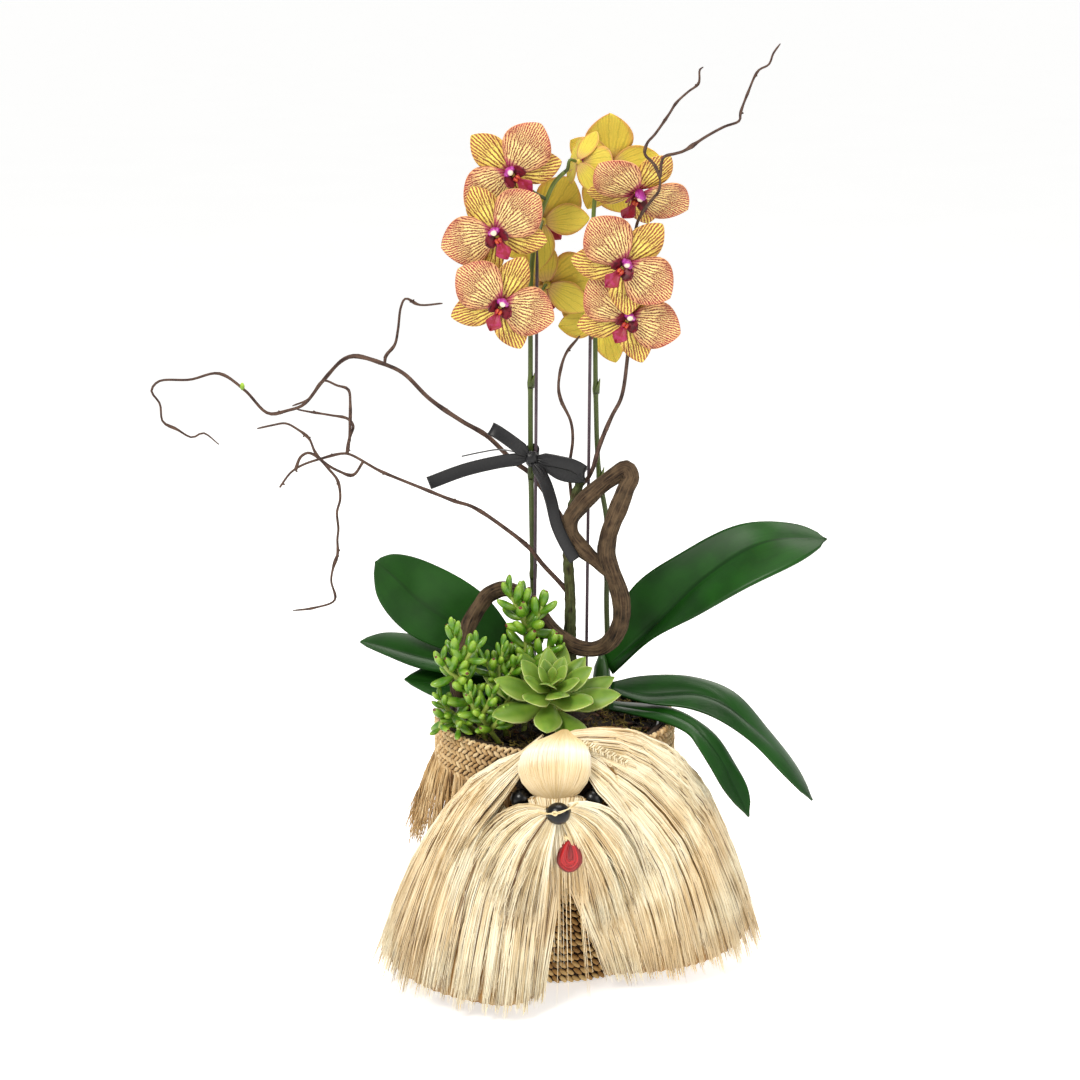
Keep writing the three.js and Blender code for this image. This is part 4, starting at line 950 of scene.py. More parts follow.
@dataclass
class Basket:
    """The woven wall, the trim with its picots and the twine fringe."""

    foot_radius: float = 94.0
    rim_radius: float = 104.0
    height: float = 225.0
    stitch_pitch: float = 6.2
    row_height: float = 7.1
    wall_top: float = 192.0
    trim_radius: float = 108.4
    trim_low: float = 187.0
    trim_high: float = 229.0
    trim_pitch: float = 6.6
    plait_rows: int = 8
    plait_low: float = 190.0
    plait_rise: float = 5.0
    plait_lean: float = 38.0
    fringe_length: float = 86.0
    fringe_flare: float = 28.0
    front_flare: float = 8.0
    fringe_cords: int = 150
    cord_yarns: int = 7

    def wall(self, z: float) -> float:
        """The wall's outer radius at a height."""
        return lerp(self.foot_radius, self.rim_radius, z / self.height)

    @staticmethod
    def stitch(
        shape: Repeats, radius: float, angle: float, z: float, slant: float, size: Places, tone: float
    ) -> None:
        """Lays one plump stitch on the round wall.

        Args:
            shape: where it is built.
            radius: how far its middle is from the basket's axis.
            angle: its place round the basket, from the front.
            z: its height.
            slant: how far it is turned from level.
            size: half its length, height and depth.
            tone: its tone.
        """
        outward = np.array([sin(angle), -cos(angle), 0.0])
        level, upright = np.array([cos(angle), sin(angle), 0.0]), np.array([0.0, 0.0, 1.0])
        long = level * cos(slant) + upright * sin(slant)
        short = upright * cos(slant) - level * sin(slant)
        basis = np.array([short * size[1], outward * size[2], long * size[0]])
        shape.add(shape.points @ basis + outward * radius + upright * z, tone)

    def build_wall(self) -> None:
        """Covers the wall with rows of slanted stitches."""
        draw = seeded(11)
        shape = Repeats(6, 4)
        rows = int(self.wall_top / self.row_height)
        for row in range(rows):
            z = (row + 0.55) * self.row_height
            count = round(2 * pi * self.wall(z) / self.stitch_pitch)
            start = draw.uniform(0, 1)
            for k in range(count):
                angle = 2 * pi * (k + start + draw.uniform(-0.1, 0.1)) / count
                size = (4.9 + draw.uniform(-0.4, 0.4), 2.3, 2.3)
                slant = radians(-40 + draw.uniform(-8, 8))
                self.stitch(shape, self.wall(z) - 0.3, angle, z, slant, size, draw.uniform(0.2, 0.95))
        shape.piece("basket_stitches", Slot.TWINE, [TWINE])

    def build_trim(self) -> None:
        """Builds the band's backing and its rows of plaited stitches."""
        draw = seeded(12)
        shape = Modeller()
        inner, outer = self.rim_radius + 0.6, self.trim_radius - 0.4
        profile = np.array(
            [[inner, self.trim_low], [outer, self.trim_low + 1], [outer, self.trim_high - 3],
             [inner + 1.5, self.trim_high - 1], [inner, self.trim_high - 2], [inner, self.trim_low]]
        )

        def band(along: Array, across: Array) -> Array:
            """Places round the band's closed section."""
            row = np.rint(along * (len(profile) - 1)).astype(int)
            return about(profile[row, 0], 2 * pi * across, profile[row, 1])

        shape.closed(shape.sheet(96, len(profile) - 1, band, 0.3))
        shape.piece("trim_backing", Slot.TWINE, [TWINE_DARK], ["trim_fringe"])
        plaits = Repeats(6, 4)
        count = round(2 * pi * self.trim_radius / self.trim_pitch)
        for row in range(self.plait_rows):
            z = self.plait_low + self.plait_rise * row
            slant = self.plait_lean if row % 2 else -self.plait_lean
            for k in range(count):
                angle = 2 * pi * (k + draw.uniform(-0.07, 0.07) + 0.5 * (slant > 0)) / count
                size = (4.3, 1.9 + draw.uniform(-0.2, 0.3), 2.2)
                lean = radians(slant + draw.uniform(-6, 6))
                self.stitch(plaits, self.trim_radius + 0.7, angle, z, lean, size, draw.uniform(0.25, 1.0))
        plaits.piece("trim_stitches", Slot.TWINE, [TWINE_LIGHT])

    def build_picots(self) -> None:
        """Bends a small loop of cord over the rim between every two stitches."""
        draw = seeded(13)
        loops = Strands()
        count = round(2 * pi * self.trim_radius / self.trim_pitch)
        turn = np.linspace(-0.15 * pi, 1.15 * pi, 9)
        for k in range(count):
            angle = 2 * pi * (k + draw.uniform(-0.08, 0.08)) / count
            across = 2.7 * np.cos(turn)
            radius = self.trim_radius - 0.6 + 0.9 * np.sin(2 * turn)
            rise = 223.6 + (3.0 + draw.uniform(-0.5, 0.5)) * np.sin(turn)
            swing = angle + across / self.trim_radius
            loops.add(about(radius, swing, rise), 1.35, draw.uniform(0.35, 1.0))
        loops.piece("trim_picots", Slot.TWINE, [TWINE_LIGHT])

    def build_fringe(self) -> None:
        """Hangs the twisted cords, each of a few frayed yarns."""
        draw = seeded(14)
        yarns = Strands()
        steps = np.linspace(0, 1, 9)
        radius = np.interp(steps, [0, 0.7, 1], [0.72, 0.5, 0.2])
        for k in range(self.fringe_cords):
            angle = 2 * pi * (k + draw.uniform(-0.3, 0.3)) / self.fringe_cords
            front = max(0.0, cos(angle))
            flare = lerp(self.fringe_flare, self.front_flare, front) * draw.uniform(0.8, 1.08)
            length = self.fringe_length * draw.uniform(0.86, 1.04)
            sway = draw.uniform(-0.05, 0.05)
            tone = draw.uniform(0.2, 0.8)
            for yarn in range(self.cord_yarns):
                phase = 2 * pi * yarn / self.cord_yarns + draw.uniform(-0.5, 0.5)
                fray = draw.uniform(-3.4, 3.4, 2) * np.power(steps, 2.2)[:, None]
                twist = phase + 9 * steps
                loose = 1.25 + 0.7 * steps
                out = self.trim_radius + 0.5 + flare * np.power(steps, 0.9)
                out = out + loose * np.cos(twist) + fray[:, 0]
                side = angle + sway * steps + (loose * np.sin(twist) + fray[:, 1]) / out
                z = self.trim_low + 4 - length * draw.uniform(0.88, 1.0) * steps
                yarns.add(about(out, side, z), radius, tone + draw.uniform(-0.2, 0.2))
        yarns.piece("fringe_cords", Slot.TWINE, [TWINE_LIGHT])

    def build(self) -> None:
        """Builds every part of the basket."""
        self.build_wall()
        self.build_trim()
        self.build_picots()
        self.build_fringe()


@dataclass
class Ground:
    """The potting soil with bark chips and curls of dry moss."""

    radius: float = 94.6
    liner_radius: float = 97.5
    edge: float = 214.0
    crown: float = 14.0
    low: float = 12.0
    chips: int = 190
    curls: int = 330

    def top(self, x: Array, y: Array) -> Array:
        """The soil's height."""
        reach = np.hypot(x, y) / self.liner_radius
        return self.edge + self.crown * (1 - reach * reach) + 2 * np.sin(x / 11) * np.cos(y / 13)

    def build(self) -> None:
        """Builds the mound and strews it."""
        shape = Modeller()

        def mound(along: Array, across: Array) -> Array:
            """Places over the mound and down its side."""
            reach = np.interp(along, [0, 0.9, 1.0], [0, 1, 0])
            angle = 2 * pi * across
            x, y = self.radius * reach * np.sin(angle), -self.radius * reach * np.cos(angle)
            lumps = 1.6 * waves(x, y, 9.0, 5) + 1.0 * waves(x, y, 4.0, 6)
            height = np.where(along > 0.95, self.low, self.top(x, y) + lumps * (reach < 0.97) - 1)
            return xyz(x, y, height)

        shape.closed(shape.sheet(90, 40, mound))
        shape.piece("soil_mound", Slot.SOIL, [SOIL_FINISH], ["soil"])
        self.strew()

    def strew(self) -> None:
        """Lays the bark chips and the moss."""
        draw = seeded(21)
        shape = Repeats(5, 4)
        for _ in range(self.chips):
            angle, reach = draw.uniform(0, 2 * pi), 90 * np.sqrt(draw.uniform(0, 1))
            x, y = reach * sin(angle), -reach * cos(angle)
            place = np.array([x, y, float(self.top(x, y)) + draw.uniform(-0.5, 2)])
            turned = Matrix.Rotation(draw.uniform(0, 2 * pi), 3, "Z")
            spin = np.array(turned @ Matrix.Rotation(draw.uniform(-0.5, 0.5), 3, "X"))
            size = np.array([draw.uniform(3, 7), draw.uniform(2, 4), draw.uniform(0.8, 1.8)])
            shape.add((shape.points * size) @ spin.T + place, 0.5)
        shape.piece("bark_chips", Slot.SOIL, [CHIP])
        moss = Strands()
        for _ in range(self.curls):
            angle, reach = draw.uniform(0, 2 * pi), 92 * draw.uniform(0.25, 1) ** 0.6
            start = np.array([reach * sin(angle), -reach * cos(angle), 0])
            steps = np.cumsum(draw.normal(0, 2.2, (9, 3)), axis=0) * 0.8
            path = start + steps
            path[:, 2] = self.top(path[:, 0], path[:, 1]) + 1.5 + np.abs(steps[:, 2]) * 0.9
            over = np.maximum(1, np.hypot(path[:, 0], path[:, 1]) / 93)
            path[:, :2] /= over[:, None]
            moss.add(path, 0.38, draw.uniform(0, 1))
        moss.piece("dry_moss", Slot.SOIL, [MOSS])


# Dog hair and face

RIGHT_LOCKS = [
    [[4, -117, 243], [22, -108, 247], [50, -106, 249], [86, -88, 234], [122, -62, 198], [148, -42, 147],
     [168, -28, 94], [195, -12, 5]],
    [[8, -122, 241], [42, -118, 239], [66, -112, 232], [95, -101, 208], [126, -84, 172], [150, -68, 122],
     [170, -56, 70], [188, -48, 5]],
    [[52, -134, 216], [70, -130, 202], [92, -120, 176], [113, -108, 144], [131, -98, 100], [145, -90, 52],
     [157, -82, 5]],
    [[38, -150, 183], [52, -147, 168], [66, -140, 146], [79, -132, 118], [90, -122, 82], [99, -114, 42],
     [106, -108, 5]],
    [[11, -161, 178], [13, -158, 150], [11, -153, 120], [20, -141, 92], [30, -129, 62], [40, -118, 33],
     [48, -109, 5]],
]
LEFT_LOCKS = [
    [[-8, -110, 236], [-38, -119, 224], [-68, -118, 204], [-92, -112, 178], [-113, -100, 145],
     [-131, -88, 108], [-166, -58, 5]],
    [[-12, -120, 233], [-36, -123, 225], [-60, -125, 214], [-82, -124, 192], [-104, -120, 156],
     [-124, -113, 112], [-143, -106, 60], [-158, -98, 5]],
    [[-52, -136, 214], [-66, -142, 196], [-82, -145, 168], [-97, -146, 134], [-110, -144, 94],
     [-121, -142, 50], [-129, -139, 5]],
    [[-37, -152, 183], [-47, -160, 164], [-57, -166, 138], [-66, -169, 108], [-73, -170, 74],
     [-79, -169, 38], [-84, -166, 5]],
    [[-16, -163, 178], [-22, -170, 152], [-26, -174, 125], [-29, -177, 96], [-32, -178, 66], [-35, -178, 36],
     [-38, -177, 5]],
    [[-3, -161, 178], [1, -160, 150], [3, -158, 122], [-1, -157, 94], [-5, -156, 64], [-9, -155, 36],
     [-12, -153, 5]],
]
CHEEK_LEFT_LOCKS = [
    [[-8, -171, 199], [-19, -168, 201], [-31, -164, 199], [-41, -162, 194], [-51, -158, 185],
     [-67, -155, 165], [-81, -152, 136]],
    [[-8, -171, 195], [-19, -170, 193], [-30, -169, 186], [-40, -168, 177], [-50, -167, 165],
     [-62, -167, 143], [-74, -164, 109]],
    [[-8, -172, 191], [-15, -173, 184], [-24, -174, 174], [-32, -174, 161], [-39, -175, 146],
     [-48, -176, 122], [-57, -175, 85]],
    [[-5, -173, 188], [-9, -175, 178], [-15, -176, 165], [-20, -177, 150], [-25, -178, 135],
     [-31, -180, 109], [-38, -181, 74]],
    [[0, -173, 185], [-2, -174, 175], [-4, -175, 162], [-6, -175, 149], [-7, -175, 133], [-11, -174, 106],
     [-14, -172, 68]],
]
CHEEK_RIGHT_LOCKS = [
    [[10, -171, 203], [22, -167, 204], [35, -163, 200], [46, -158, 193], [57, -152, 181], [74, -140, 151],
     [88, -130, 115]],
    [[12, -171, 197], [22, -168, 193], [34, -165, 185], [45, -161, 171], [56, -156, 154], [68, -147, 122],
     [79, -138, 86]],
    [[11, -172, 192], [19, -170, 184], [28, -166, 171], [37, -160, 154], [45, -154, 135], [55, -145, 103],
     [64, -135, 61]],
    [[9, -173, 188], [14, -171, 177], [20, -166, 162], [26, -160, 146], [33, -153, 128], [41, -143, 97],
     [49, -130, 54]],
    [[6, -173, 185], [10, -171, 174], [15, -166, 160], [20, -158, 144], [25, -150, 125], [30, -142, 101],
     [38, -128, 62]],
]
BROW_LEFT_LOCKS = [
    [[-10, -112, 243], [-29, -122, 231], [-51, -131, 218], [-75, -133, 194], [-91, -131, 169],
     [-105, -126, 139]],
    [[-20, -132, 234], [-36, -143, 220], [-52, -146, 207], [-73, -148, 180], [-87, -149, 155],
     [-100, -146, 123]],
    [[-24, -142, 226], [-33, -154, 213], [-45, -158, 195], [-64, -158, 171], [-78, -156, 146],
     [-90, -154, 114]],
]
BROW_RIGHT_LOCKS = [
    [[16, -120, 238], [28, -126, 232], [41, -127, 224], [71, -120, 195], [89, -112, 162], [104, -104, 129]],
    [[22, -134, 228], [37, -143, 218], [47, -143, 208], [68, -136, 179], [82, -129, 149], [93, -121, 114]],
    [[24, -142, 222], [35, -155, 205], [43, -157, 196], [61, -152, 171], [72, -145, 147], [81, -137, 113]],
]


def tapered(radius: float, shares: Array) -> Array:
    """The radius along a strand that thins towards its end."""
    return radius * np.interp(shares, [0, 0.7, 1], [1, 0.9, 0.35])


@dataclass
class HairFall:
    """A fall of raffia hair: locks of fine strands and, where it stands for an imported node, an under layer
    painted darker brown as shade between the locks.
    """

    name: str
    keys: list
    start: float
    end: float
    locks: int
    strands: int
    seed: int
    node: str = ""
    steps: int = 60
    stray: float = 0.12
    shaded: float = 0.07

    def table(self) -> tuple[Array, Array]:
        """Works out the fall's middle surface.

        Returns:
            Places and outward directions in a square table of shares along and across.
        """
        shares = np.linspace(0, 1, self.steps + 1)
        rows = np.stack([curve_at(lock, shares) for lock in self.keys], axis=1)
        across = lerp(self.start, self.end, shares)
        places = np.stack([curve_at(row, across) for row in rows])
        outward = unit(np.cross(np.gradient(places, axis=0), np.gradient(places, axis=1)))
        away = places * [1, 1, 0] - [0, -60, 0]
        outward *= np.sign(np.sum(outward * away, axis=-1, keepdims=True))
        return places, outward

    def read(self, table: Array, along: Array, across: Array) -> Array:
        """Reads the table between its entries."""
        rows = np.clip(along, 0, 1) * self.steps
        columns = np.clip(across, 0, 1) * self.steps
        i = np.minimum(rows.astype(int), self.steps - 1)
        j = np.minimum(columns.astype(int), self.steps - 1)
        a, b = (rows - i)[..., None], (columns - j)[..., None]
        near = table[i, j] * (1 - b) + table[i, j + 1] * b
        far = table[i + 1, j] * (1 - b) + table[i + 1, j + 1] * b
        return near * (1 - a) + far * a

    def build(self) -> None:
        """Builds the strands, and the under layer where the fall stands for an imported node."""
        places, outward = self.table()
        draw = seeded(self.seed)

        def under(along: Array, across: Array) -> Array:
            """Places on the under layer."""
            u = 0.93 * along
            waviness = 1.2 * np.sin(across * self.locks * pi) * along
            out = self.read(outward, u, across)
            return self.read(places, u, across) + out * (waviness - 1.5)[:, None]

        if self.node:
            shape = Modeller()
            # Painted shade: the under layer's tone is kept low, in stripes across the locks.
            shape.sheet(2 * self.locks, 30, under, lambda u, v: 0.35 + 0.2 * np.sin(v * 40))
            thicken(shape.piece(f"{self.name}_under", Slot.HAIR, [HAIR_UNDER_SHADE], [self.node]), 2.0)
        hair = Strands()
        u = np.array([0.0, 0.1, 0.23, 0.38, 0.54, 0.7, 0.86, 1.0])
        middles = (np.arange(self.locks) + 0.5 + draw.uniform(-0.3, 0.3, self.locks)) / self.locks
        for middle in middles:
            tone, lift = draw.uniform(0.4, 0.95), draw.uniform(0.3, 3.0)
            width = draw.uniform(0.55, 1.25) / self.locks
            lean, reach = draw.normal(0, 0.35) / self.locks, draw.uniform(0.95, 1.0)
            for _ in range(self.strands):
                angle, out = draw.uniform(0, 2 * pi), np.sqrt(draw.uniform(0, 1))
                gather = 1 - 0.42 * u**1.5
                loose = draw.normal(0, 0.3) / self.locks * u**3
                loose = loose * (6 if draw.uniform(0, 1) < self.stray else 1)
                v = middle + width * out * cos(angle) * gather + lean * u + loose
                v = np.clip(v, 0.002, 0.998)
                ends = u * reach * draw.uniform(0.93, 1.0) ** 2
                depth = 0.6 + lift * np.sin(pi * np.minimum(0.12 + u, 0.9)) + 1.5 * out * sin(angle) * gather
                depth = depth + draw.normal(0, 0.5) * u**2 * 2
                path = self.read(places, ends, v) + self.read(outward, ends, v) * depth[:, None]
                path[:, 2] = np.maximum(path[:, 2], FLOOR_GAP)
                radius = tapered(draw.uniform(0.3, 0.49), u)
                dark = 0.6 if draw.uniform(0, 1) < self.shaded else 0.0
                hair.add(path, radius, tone + draw.normal(0, 0.2) - dark)
        hair.piece(f"{self.name}_strands", Slot.HAIR, [HAIR])


@dataclass
class Forelock:
    """The gathered tuft over the dog's brow."""

    top: tuple = (8.0, -116.0, 249.0)
    tie: tuple = (0.0, -160.0, 199.0)
    half_width: float = 30.5
    half_depth: float = 17.0
    bow: float = 15.0
    shift: float = 4.5
    strands: int = 950

    def skin(self, along: Array, across: Array, grown: float) -> Array:
        """Places on the tuft's skin."""
        widths = [0.1, 0.3, 0.62, 0.9, 1, 1, 0.87, 0.6, 0.12]
        swell = grown * np.interp(along, [0, 0.1, 0.22, 0.36, 0.5, 0.66, 0.81, 0.92, 1], widths)
        top, tie = np.array(self.top), np.array(self.tie)
        axis = tie - top
        outward = unit(np.cross([1, 0, 0], axis))
        share = np.asarray(along)[..., None]
        bow = outward * self.bow + [self.shift, 0, 0]
        middle = top + axis * share - bow * np.sin(pi * share)
        angle = 2 * pi * across
        wide, deep = self.half_width * swell * np.cos(angle), self.half_depth * swell * np.sin(angle)
        return middle + wide[..., None] * np.array([1.0, 0, 0]) + deep[..., None] * outward

    def build(self) -> None:
        """Builds the tuft's body and its strands."""
        shape = Modeller()
        shape.closed(shape.sheet(40, 30, lambda u, v: self.skin(u, v, 0.95), 0.75))
        shape.piece("forelock_body", Slot.HAIR, [TUFT], ["forelock"])
        draw = seeded(31)
        hair = Strands()
        u = np.linspace(0, 1, 10)
        for _ in range(self.strands):
            around = draw.uniform(0, 1)
            grown = 0.97 + 0.05 * draw.uniform(0, 1)
            v = around + draw.normal(0, 0.006) * np.sin(pi * u)
            hair.add(self.skin(u, v, grown), draw.uniform(0.36, 0.52), draw.normal(0.6, 0.17))
        hair.piece("forelock_strands", Slot.HAIR, [TUFT])


@dataclass
class Face:
    """Bead eyes and nose, the string across the nose, the tongue and the braid behind the forelock."""

    eye_height: float = 199.0
    eye_depth: float = -151.0
    eye_radius: float = 9.0
    eye_spread: float = 31.0
    chin_height: float = 190.0
    middle: float = 1.0
    wisps: int = 190
    tongue_loops: int = 80
    bridge_hairs: int = 110
    nose: tuple = (2.0, -176.0, 195.0)
    tongue: tuple = (12.0, -169.0, 156.0)

    def bead(self, name: str, centre: tuple, radii: tuple) -> None:
        """Turns one glossy bead."""
        shape = Modeller()
        shape.ball(40, 24, lambda p: p * np.array(radii) + np.array(centre))
        shape.piece(name, Slot.BEAD, [BEAD], [name.replace("_bead", "")])

    def build_tongue(self) -> None:
        """Nests loops of red raffia round a small pale knot."""
        x, y, z = self.tongue
        strips = Strands()
        draw = seeded(41)
        turn = np.linspace(-0.5 * pi, 1.5 * pi, 25)
        for _ in range(self.tongue_loops):
            size = draw.uniform(0.0, 1.0)
            across, down = 11.8 * size * draw.uniform(0.8, 1.04), 16.0 * (0.3 + 0.7 * size)
            taper = 0.3 + 0.7 * np.clip((1.1 - np.sin(turn)) / 1.6, 0, 1)
            shift, lift = draw.uniform(-1.5, 1.5) * (1 - size), draw.uniform(-1, 1)
            depth = y + 1.2 - 4.2 * np.sqrt(1 - 0.9 * size * size) + draw.uniform(-0.8, 0.8)
            path = xyz(
                x + shift + across * np.cos(turn) * taper, depth + 0.8 * np.sin(turn + lift),
                z + 3 * (1 - size) + down * np.sin(turn),
            )
            strips.add(path, draw.uniform(0.9, 1.4), draw.uniform(0.0, 1.0))
        strips.piece("tongue_loops", Slot.TONGUE, [TONGUE_RED], ["tongue"])

    def build_strings(self) -> None:
        """Ties the pale string over the nose, and knots one above the tongue."""
        x, y, z = self.nose
        bends = [[-17, 3, 0], [-9, -8, 3], [0, -11.4, 5], [9, -8, 7.5], [17, 3, 9]]
        path = spaced([[x + a, y + b, z + c] for a, b, c in bends], 26)
        strings = Strands()
        for phase in (0.0, pi):
            turn = np.linspace(0, 9, len(path)) + phase
            wound = path + xyz(0, -0.3 + 0.45 * np.cos(turn), 0.65 * np.sin(turn))
            strings.add(wound, 0.52, 0.75)
        turn = np.linspace(0, 4 * pi, 30)
        knot = xyz(-3 + 2 * np.cos(turn), -11.6 + 1.2 * np.sin(1.5 * turn), 4.4 + 1.5 * np.sin(turn))
        strings.add(np.array(self.nose) + knot, 0.55, 0.85)
        a, b, c = self.tongue
        for lean in (-0.9, -0.2, 0.5, 1.1):
            reach = np.linspace(-3.4, 3.4, 6)
            tie = xyz(a - 2 + reach * cos(lean), b - 5 + 0.1 * reach**2, c + 16 + reach * sin(lean))
            strings.add(tie, 0.7, 0.8)
        strings.piece("nose_twine", Slot.RAFFIA, [RAFFIA], ["nose_string"])

    def bridge(self, along: Array, across: Array) -> Array:
        """Places between the eyes, from under the forelock down to the nose.

        Args:
            along: shares from the forelock to the nose.
            across: shares from the left eye to the right one.

        Returns:
            The places in millimetres.
        """
        side = 2 * across - 1
        half = np.interp(along, [0, 0.5, 1], [14.0, 25.0, 21.0])
        rise = np.interp(along, [0, 0.5, 1], [203.0, 204.0, 198.0])
        deep = lerp(self.eye_depth + 4, self.nose[1] + 6, along)
        return xyz(self.middle + half * side, deep, rise - 3 * side**2)

    def build_bridge(self) -> None:
        """Lays short hair between the eyes over a pad that closes the face."""
        shape = Modeller()
        shape.sheet(16, 10, self.bridge, 0.6)
        # The pad is painted in the under layers' shadow brown.
        thicken(shape.piece("bridge_pad", Slot.HAIR, [HAIR_UNDER_SHADE]), 2.0)
        draw = seeded(45)
        hair = Strands()
        u = np.linspace(0, 1, 6)
        for _ in range(self.bridge_hairs):
            v = np.clip(draw.uniform(0, 1) + draw.normal(0, 0.03) * u, 0, 1)
            path = self.bridge(u, v) + [0, 0, draw.uniform(0.3, 1.8)]
            hair.add(path, draw.uniform(0.5, 0.75), draw.normal(0.7, 0.2))
        hair.piece("bridge_strands", Slot.HAIR, [HAIR])

    def build_wisps(self) -> None:
        """Hangs loose hair from under the nose: a veil behind the tongue and long wisps over the chest."""
        draw = seeded(44)
        wisps = Strands()
        for k in range(self.wisps):
            reach = draw.uniform(0.75, 1.0) if k % 12 == 0 else draw.uniform(0.24, 0.46)
            t = np.linspace(0, 1, 9) * reach
            side = draw.uniform(-1, 1)
            x = np.interp(t, [0, 0.25, 1], [3, 10, 15])
            x = x + side * np.interp(t, [0, 0.12, 0.35, 1], [6, 12, 17, 25])
            y = np.interp(t, [0, 0.1, 0.3, 1], [-168, -170, -164, -146]) + draw.uniform(-2, 3)
            wave = draw.normal(0, 1.6) * np.sin(4 * t + draw.uniform(0, 6))
            path = xyz(x + wave, y, np.maximum(self.chin_height * (1 - t), FLOOR_GAP))
            wisps.add(path, tapered(draw.uniform(0.28, 0.42), t / reach), draw.uniform(0.35, 1.0))
        wisps.piece("chin_wisps", Slot.HAIR, [HAIR])

    def build_braid(self) -> None:
        """Plaits the thin braid between the top sweep and the face hair."""
        line = spaced([[18, -128, 243], [32, -129, 239], [48, -127, 231], [62, -124, 222]], 60)
        braid = Strands()
        draw = seeded(43)
        turn = np.linspace(0, 7 * 2 * pi, 60)
        for phase in (0, 2 * pi / 3, 4 * pi / 3):
            for _ in range(5):
                slip = draw.uniform(-0.5, 0.5, 2)
                swing = 3.2 * np.sin(turn + phase) + slip[0]
                depth = 1.6 * np.sin(2 * (turn + phase)) + slip[1]
                path = line + xyz(0.4 * swing, -depth - 2, 0.9 * swing)
                braid.add(path, 0.7, draw.uniform(0.3, 0.8))
        braid.piece("brow_braid", Slot.HAIR, [HAIR])

    def build(self) -> None:
        """Builds the face."""
        for side, sign in zip(Side, (-1, 1)):
            centre = (self.middle + sign * self.eye_spread, self.eye_depth, self.eye_height)
            self.bead(f"eye_{side.value}_bead", centre, (self.eye_radius,) * 3)
        self.bead("nose_bead", self.nose, (10.3, 9.3, 9.5))
        self.build_tongue()
        self.build_strings()
        self.build_bridge()
        self.build_wisps()
        self.build_braid()


# Orchid plants

LEAVES = {
    Side.LEFT: [
        [[[-30, 20, 270], [-78, 14, 299], [-125, 6, 334], [-143, -4, 355], [-162, -15, 375]],
         [[-26, 24, 276], [-65, 30, 331], [-116, 24, 364], [-146, 8, 376], [-163, -13, 376]],
         [[-34, 16, 264], [-87, 2, 282], [-134, -6, 305], [-160, -12, 339], [-164, -16, 373]]],
        [[[-34, 16, 258], [-87, 6, 270], [-125, -2, 281], [-155, -10, 292], [-177, -16, 300]],
         [[-34, 24, 261], [-88, 32, 284], [-127, 24, 294], [-156, 8, 301], [-177, -14, 301]],
         [[-34, 10, 255], [-82, -12, 267], [-124, -24, 278], [-154, -26, 291], [-177, -18, 299]]],
        [[[-34, 12, 247], [-78, 0, 253], [-105, -10, 259], [-137, -22, 266]],
         [[-34, 18, 250], [-78, 20, 264], [-110, 8, 271], [-137, -20, 267]],
         [[-34, 6, 245], [-68, -14, 246], [-104, -28, 250], [-137, -24, 265]]],
    ],
    Side.RIGHT: [
        [[[50, 20, 266], [89, 14, 303], [137, 4, 356], [188, -8, 391], [244, -20, 397]],
         [[46, 24, 272], [70, 24, 338], [117, 20, 375], [171, 10, 404], [219, -2, 406], [245, -18, 398]],
         [[54, 14, 260], [88, -8, 300], [128, -24, 327], [171, -36, 356], [222, -34, 382], [245, -22, 396]]],
        [[[52, 12, 247], [84, 4, 242], [132, -8, 247], [156, -22, 241], [181, -32, 222], [207, -42, 198],
          [234, -51, 160]],
         [[52, 18, 250], [81, 22, 255], [126, 14, 257], [165, 2, 246], [197, -10, 213], [222, -26, 183],
          [235, -48, 160]],
         [[52, 7, 244], [84, -14, 241], [123, -28, 240], [149, -40, 233], [178, -52, 216], [208, -58, 186],
          [233, -54, 160]]],
        [[[50, 2, 233], [81, -10, 232], [105, -28, 234], [124, -44, 229], [134, -56, 222], [147, -68, 207],
          [159, -78, 184], [173, -90, 159]],
         [[50, 8, 235], [82, 6, 233], [106, -8, 234], [127, -28, 230], [146, -44, 219], [162, -56, 197],
          [173, -70, 178], [175, -88, 160]],
         [[50, -4, 231], [80, -24, 231], [102, -44, 231], [119, -60, 227], [127, -73, 220], [138, -82, 204],
          [151, -91, 184], [171, -92, 160]]],
    ],
}
CROWNS = {Side.LEFT: (-24.0, 20.0), Side.RIGHT: (44.0, 22.0)}


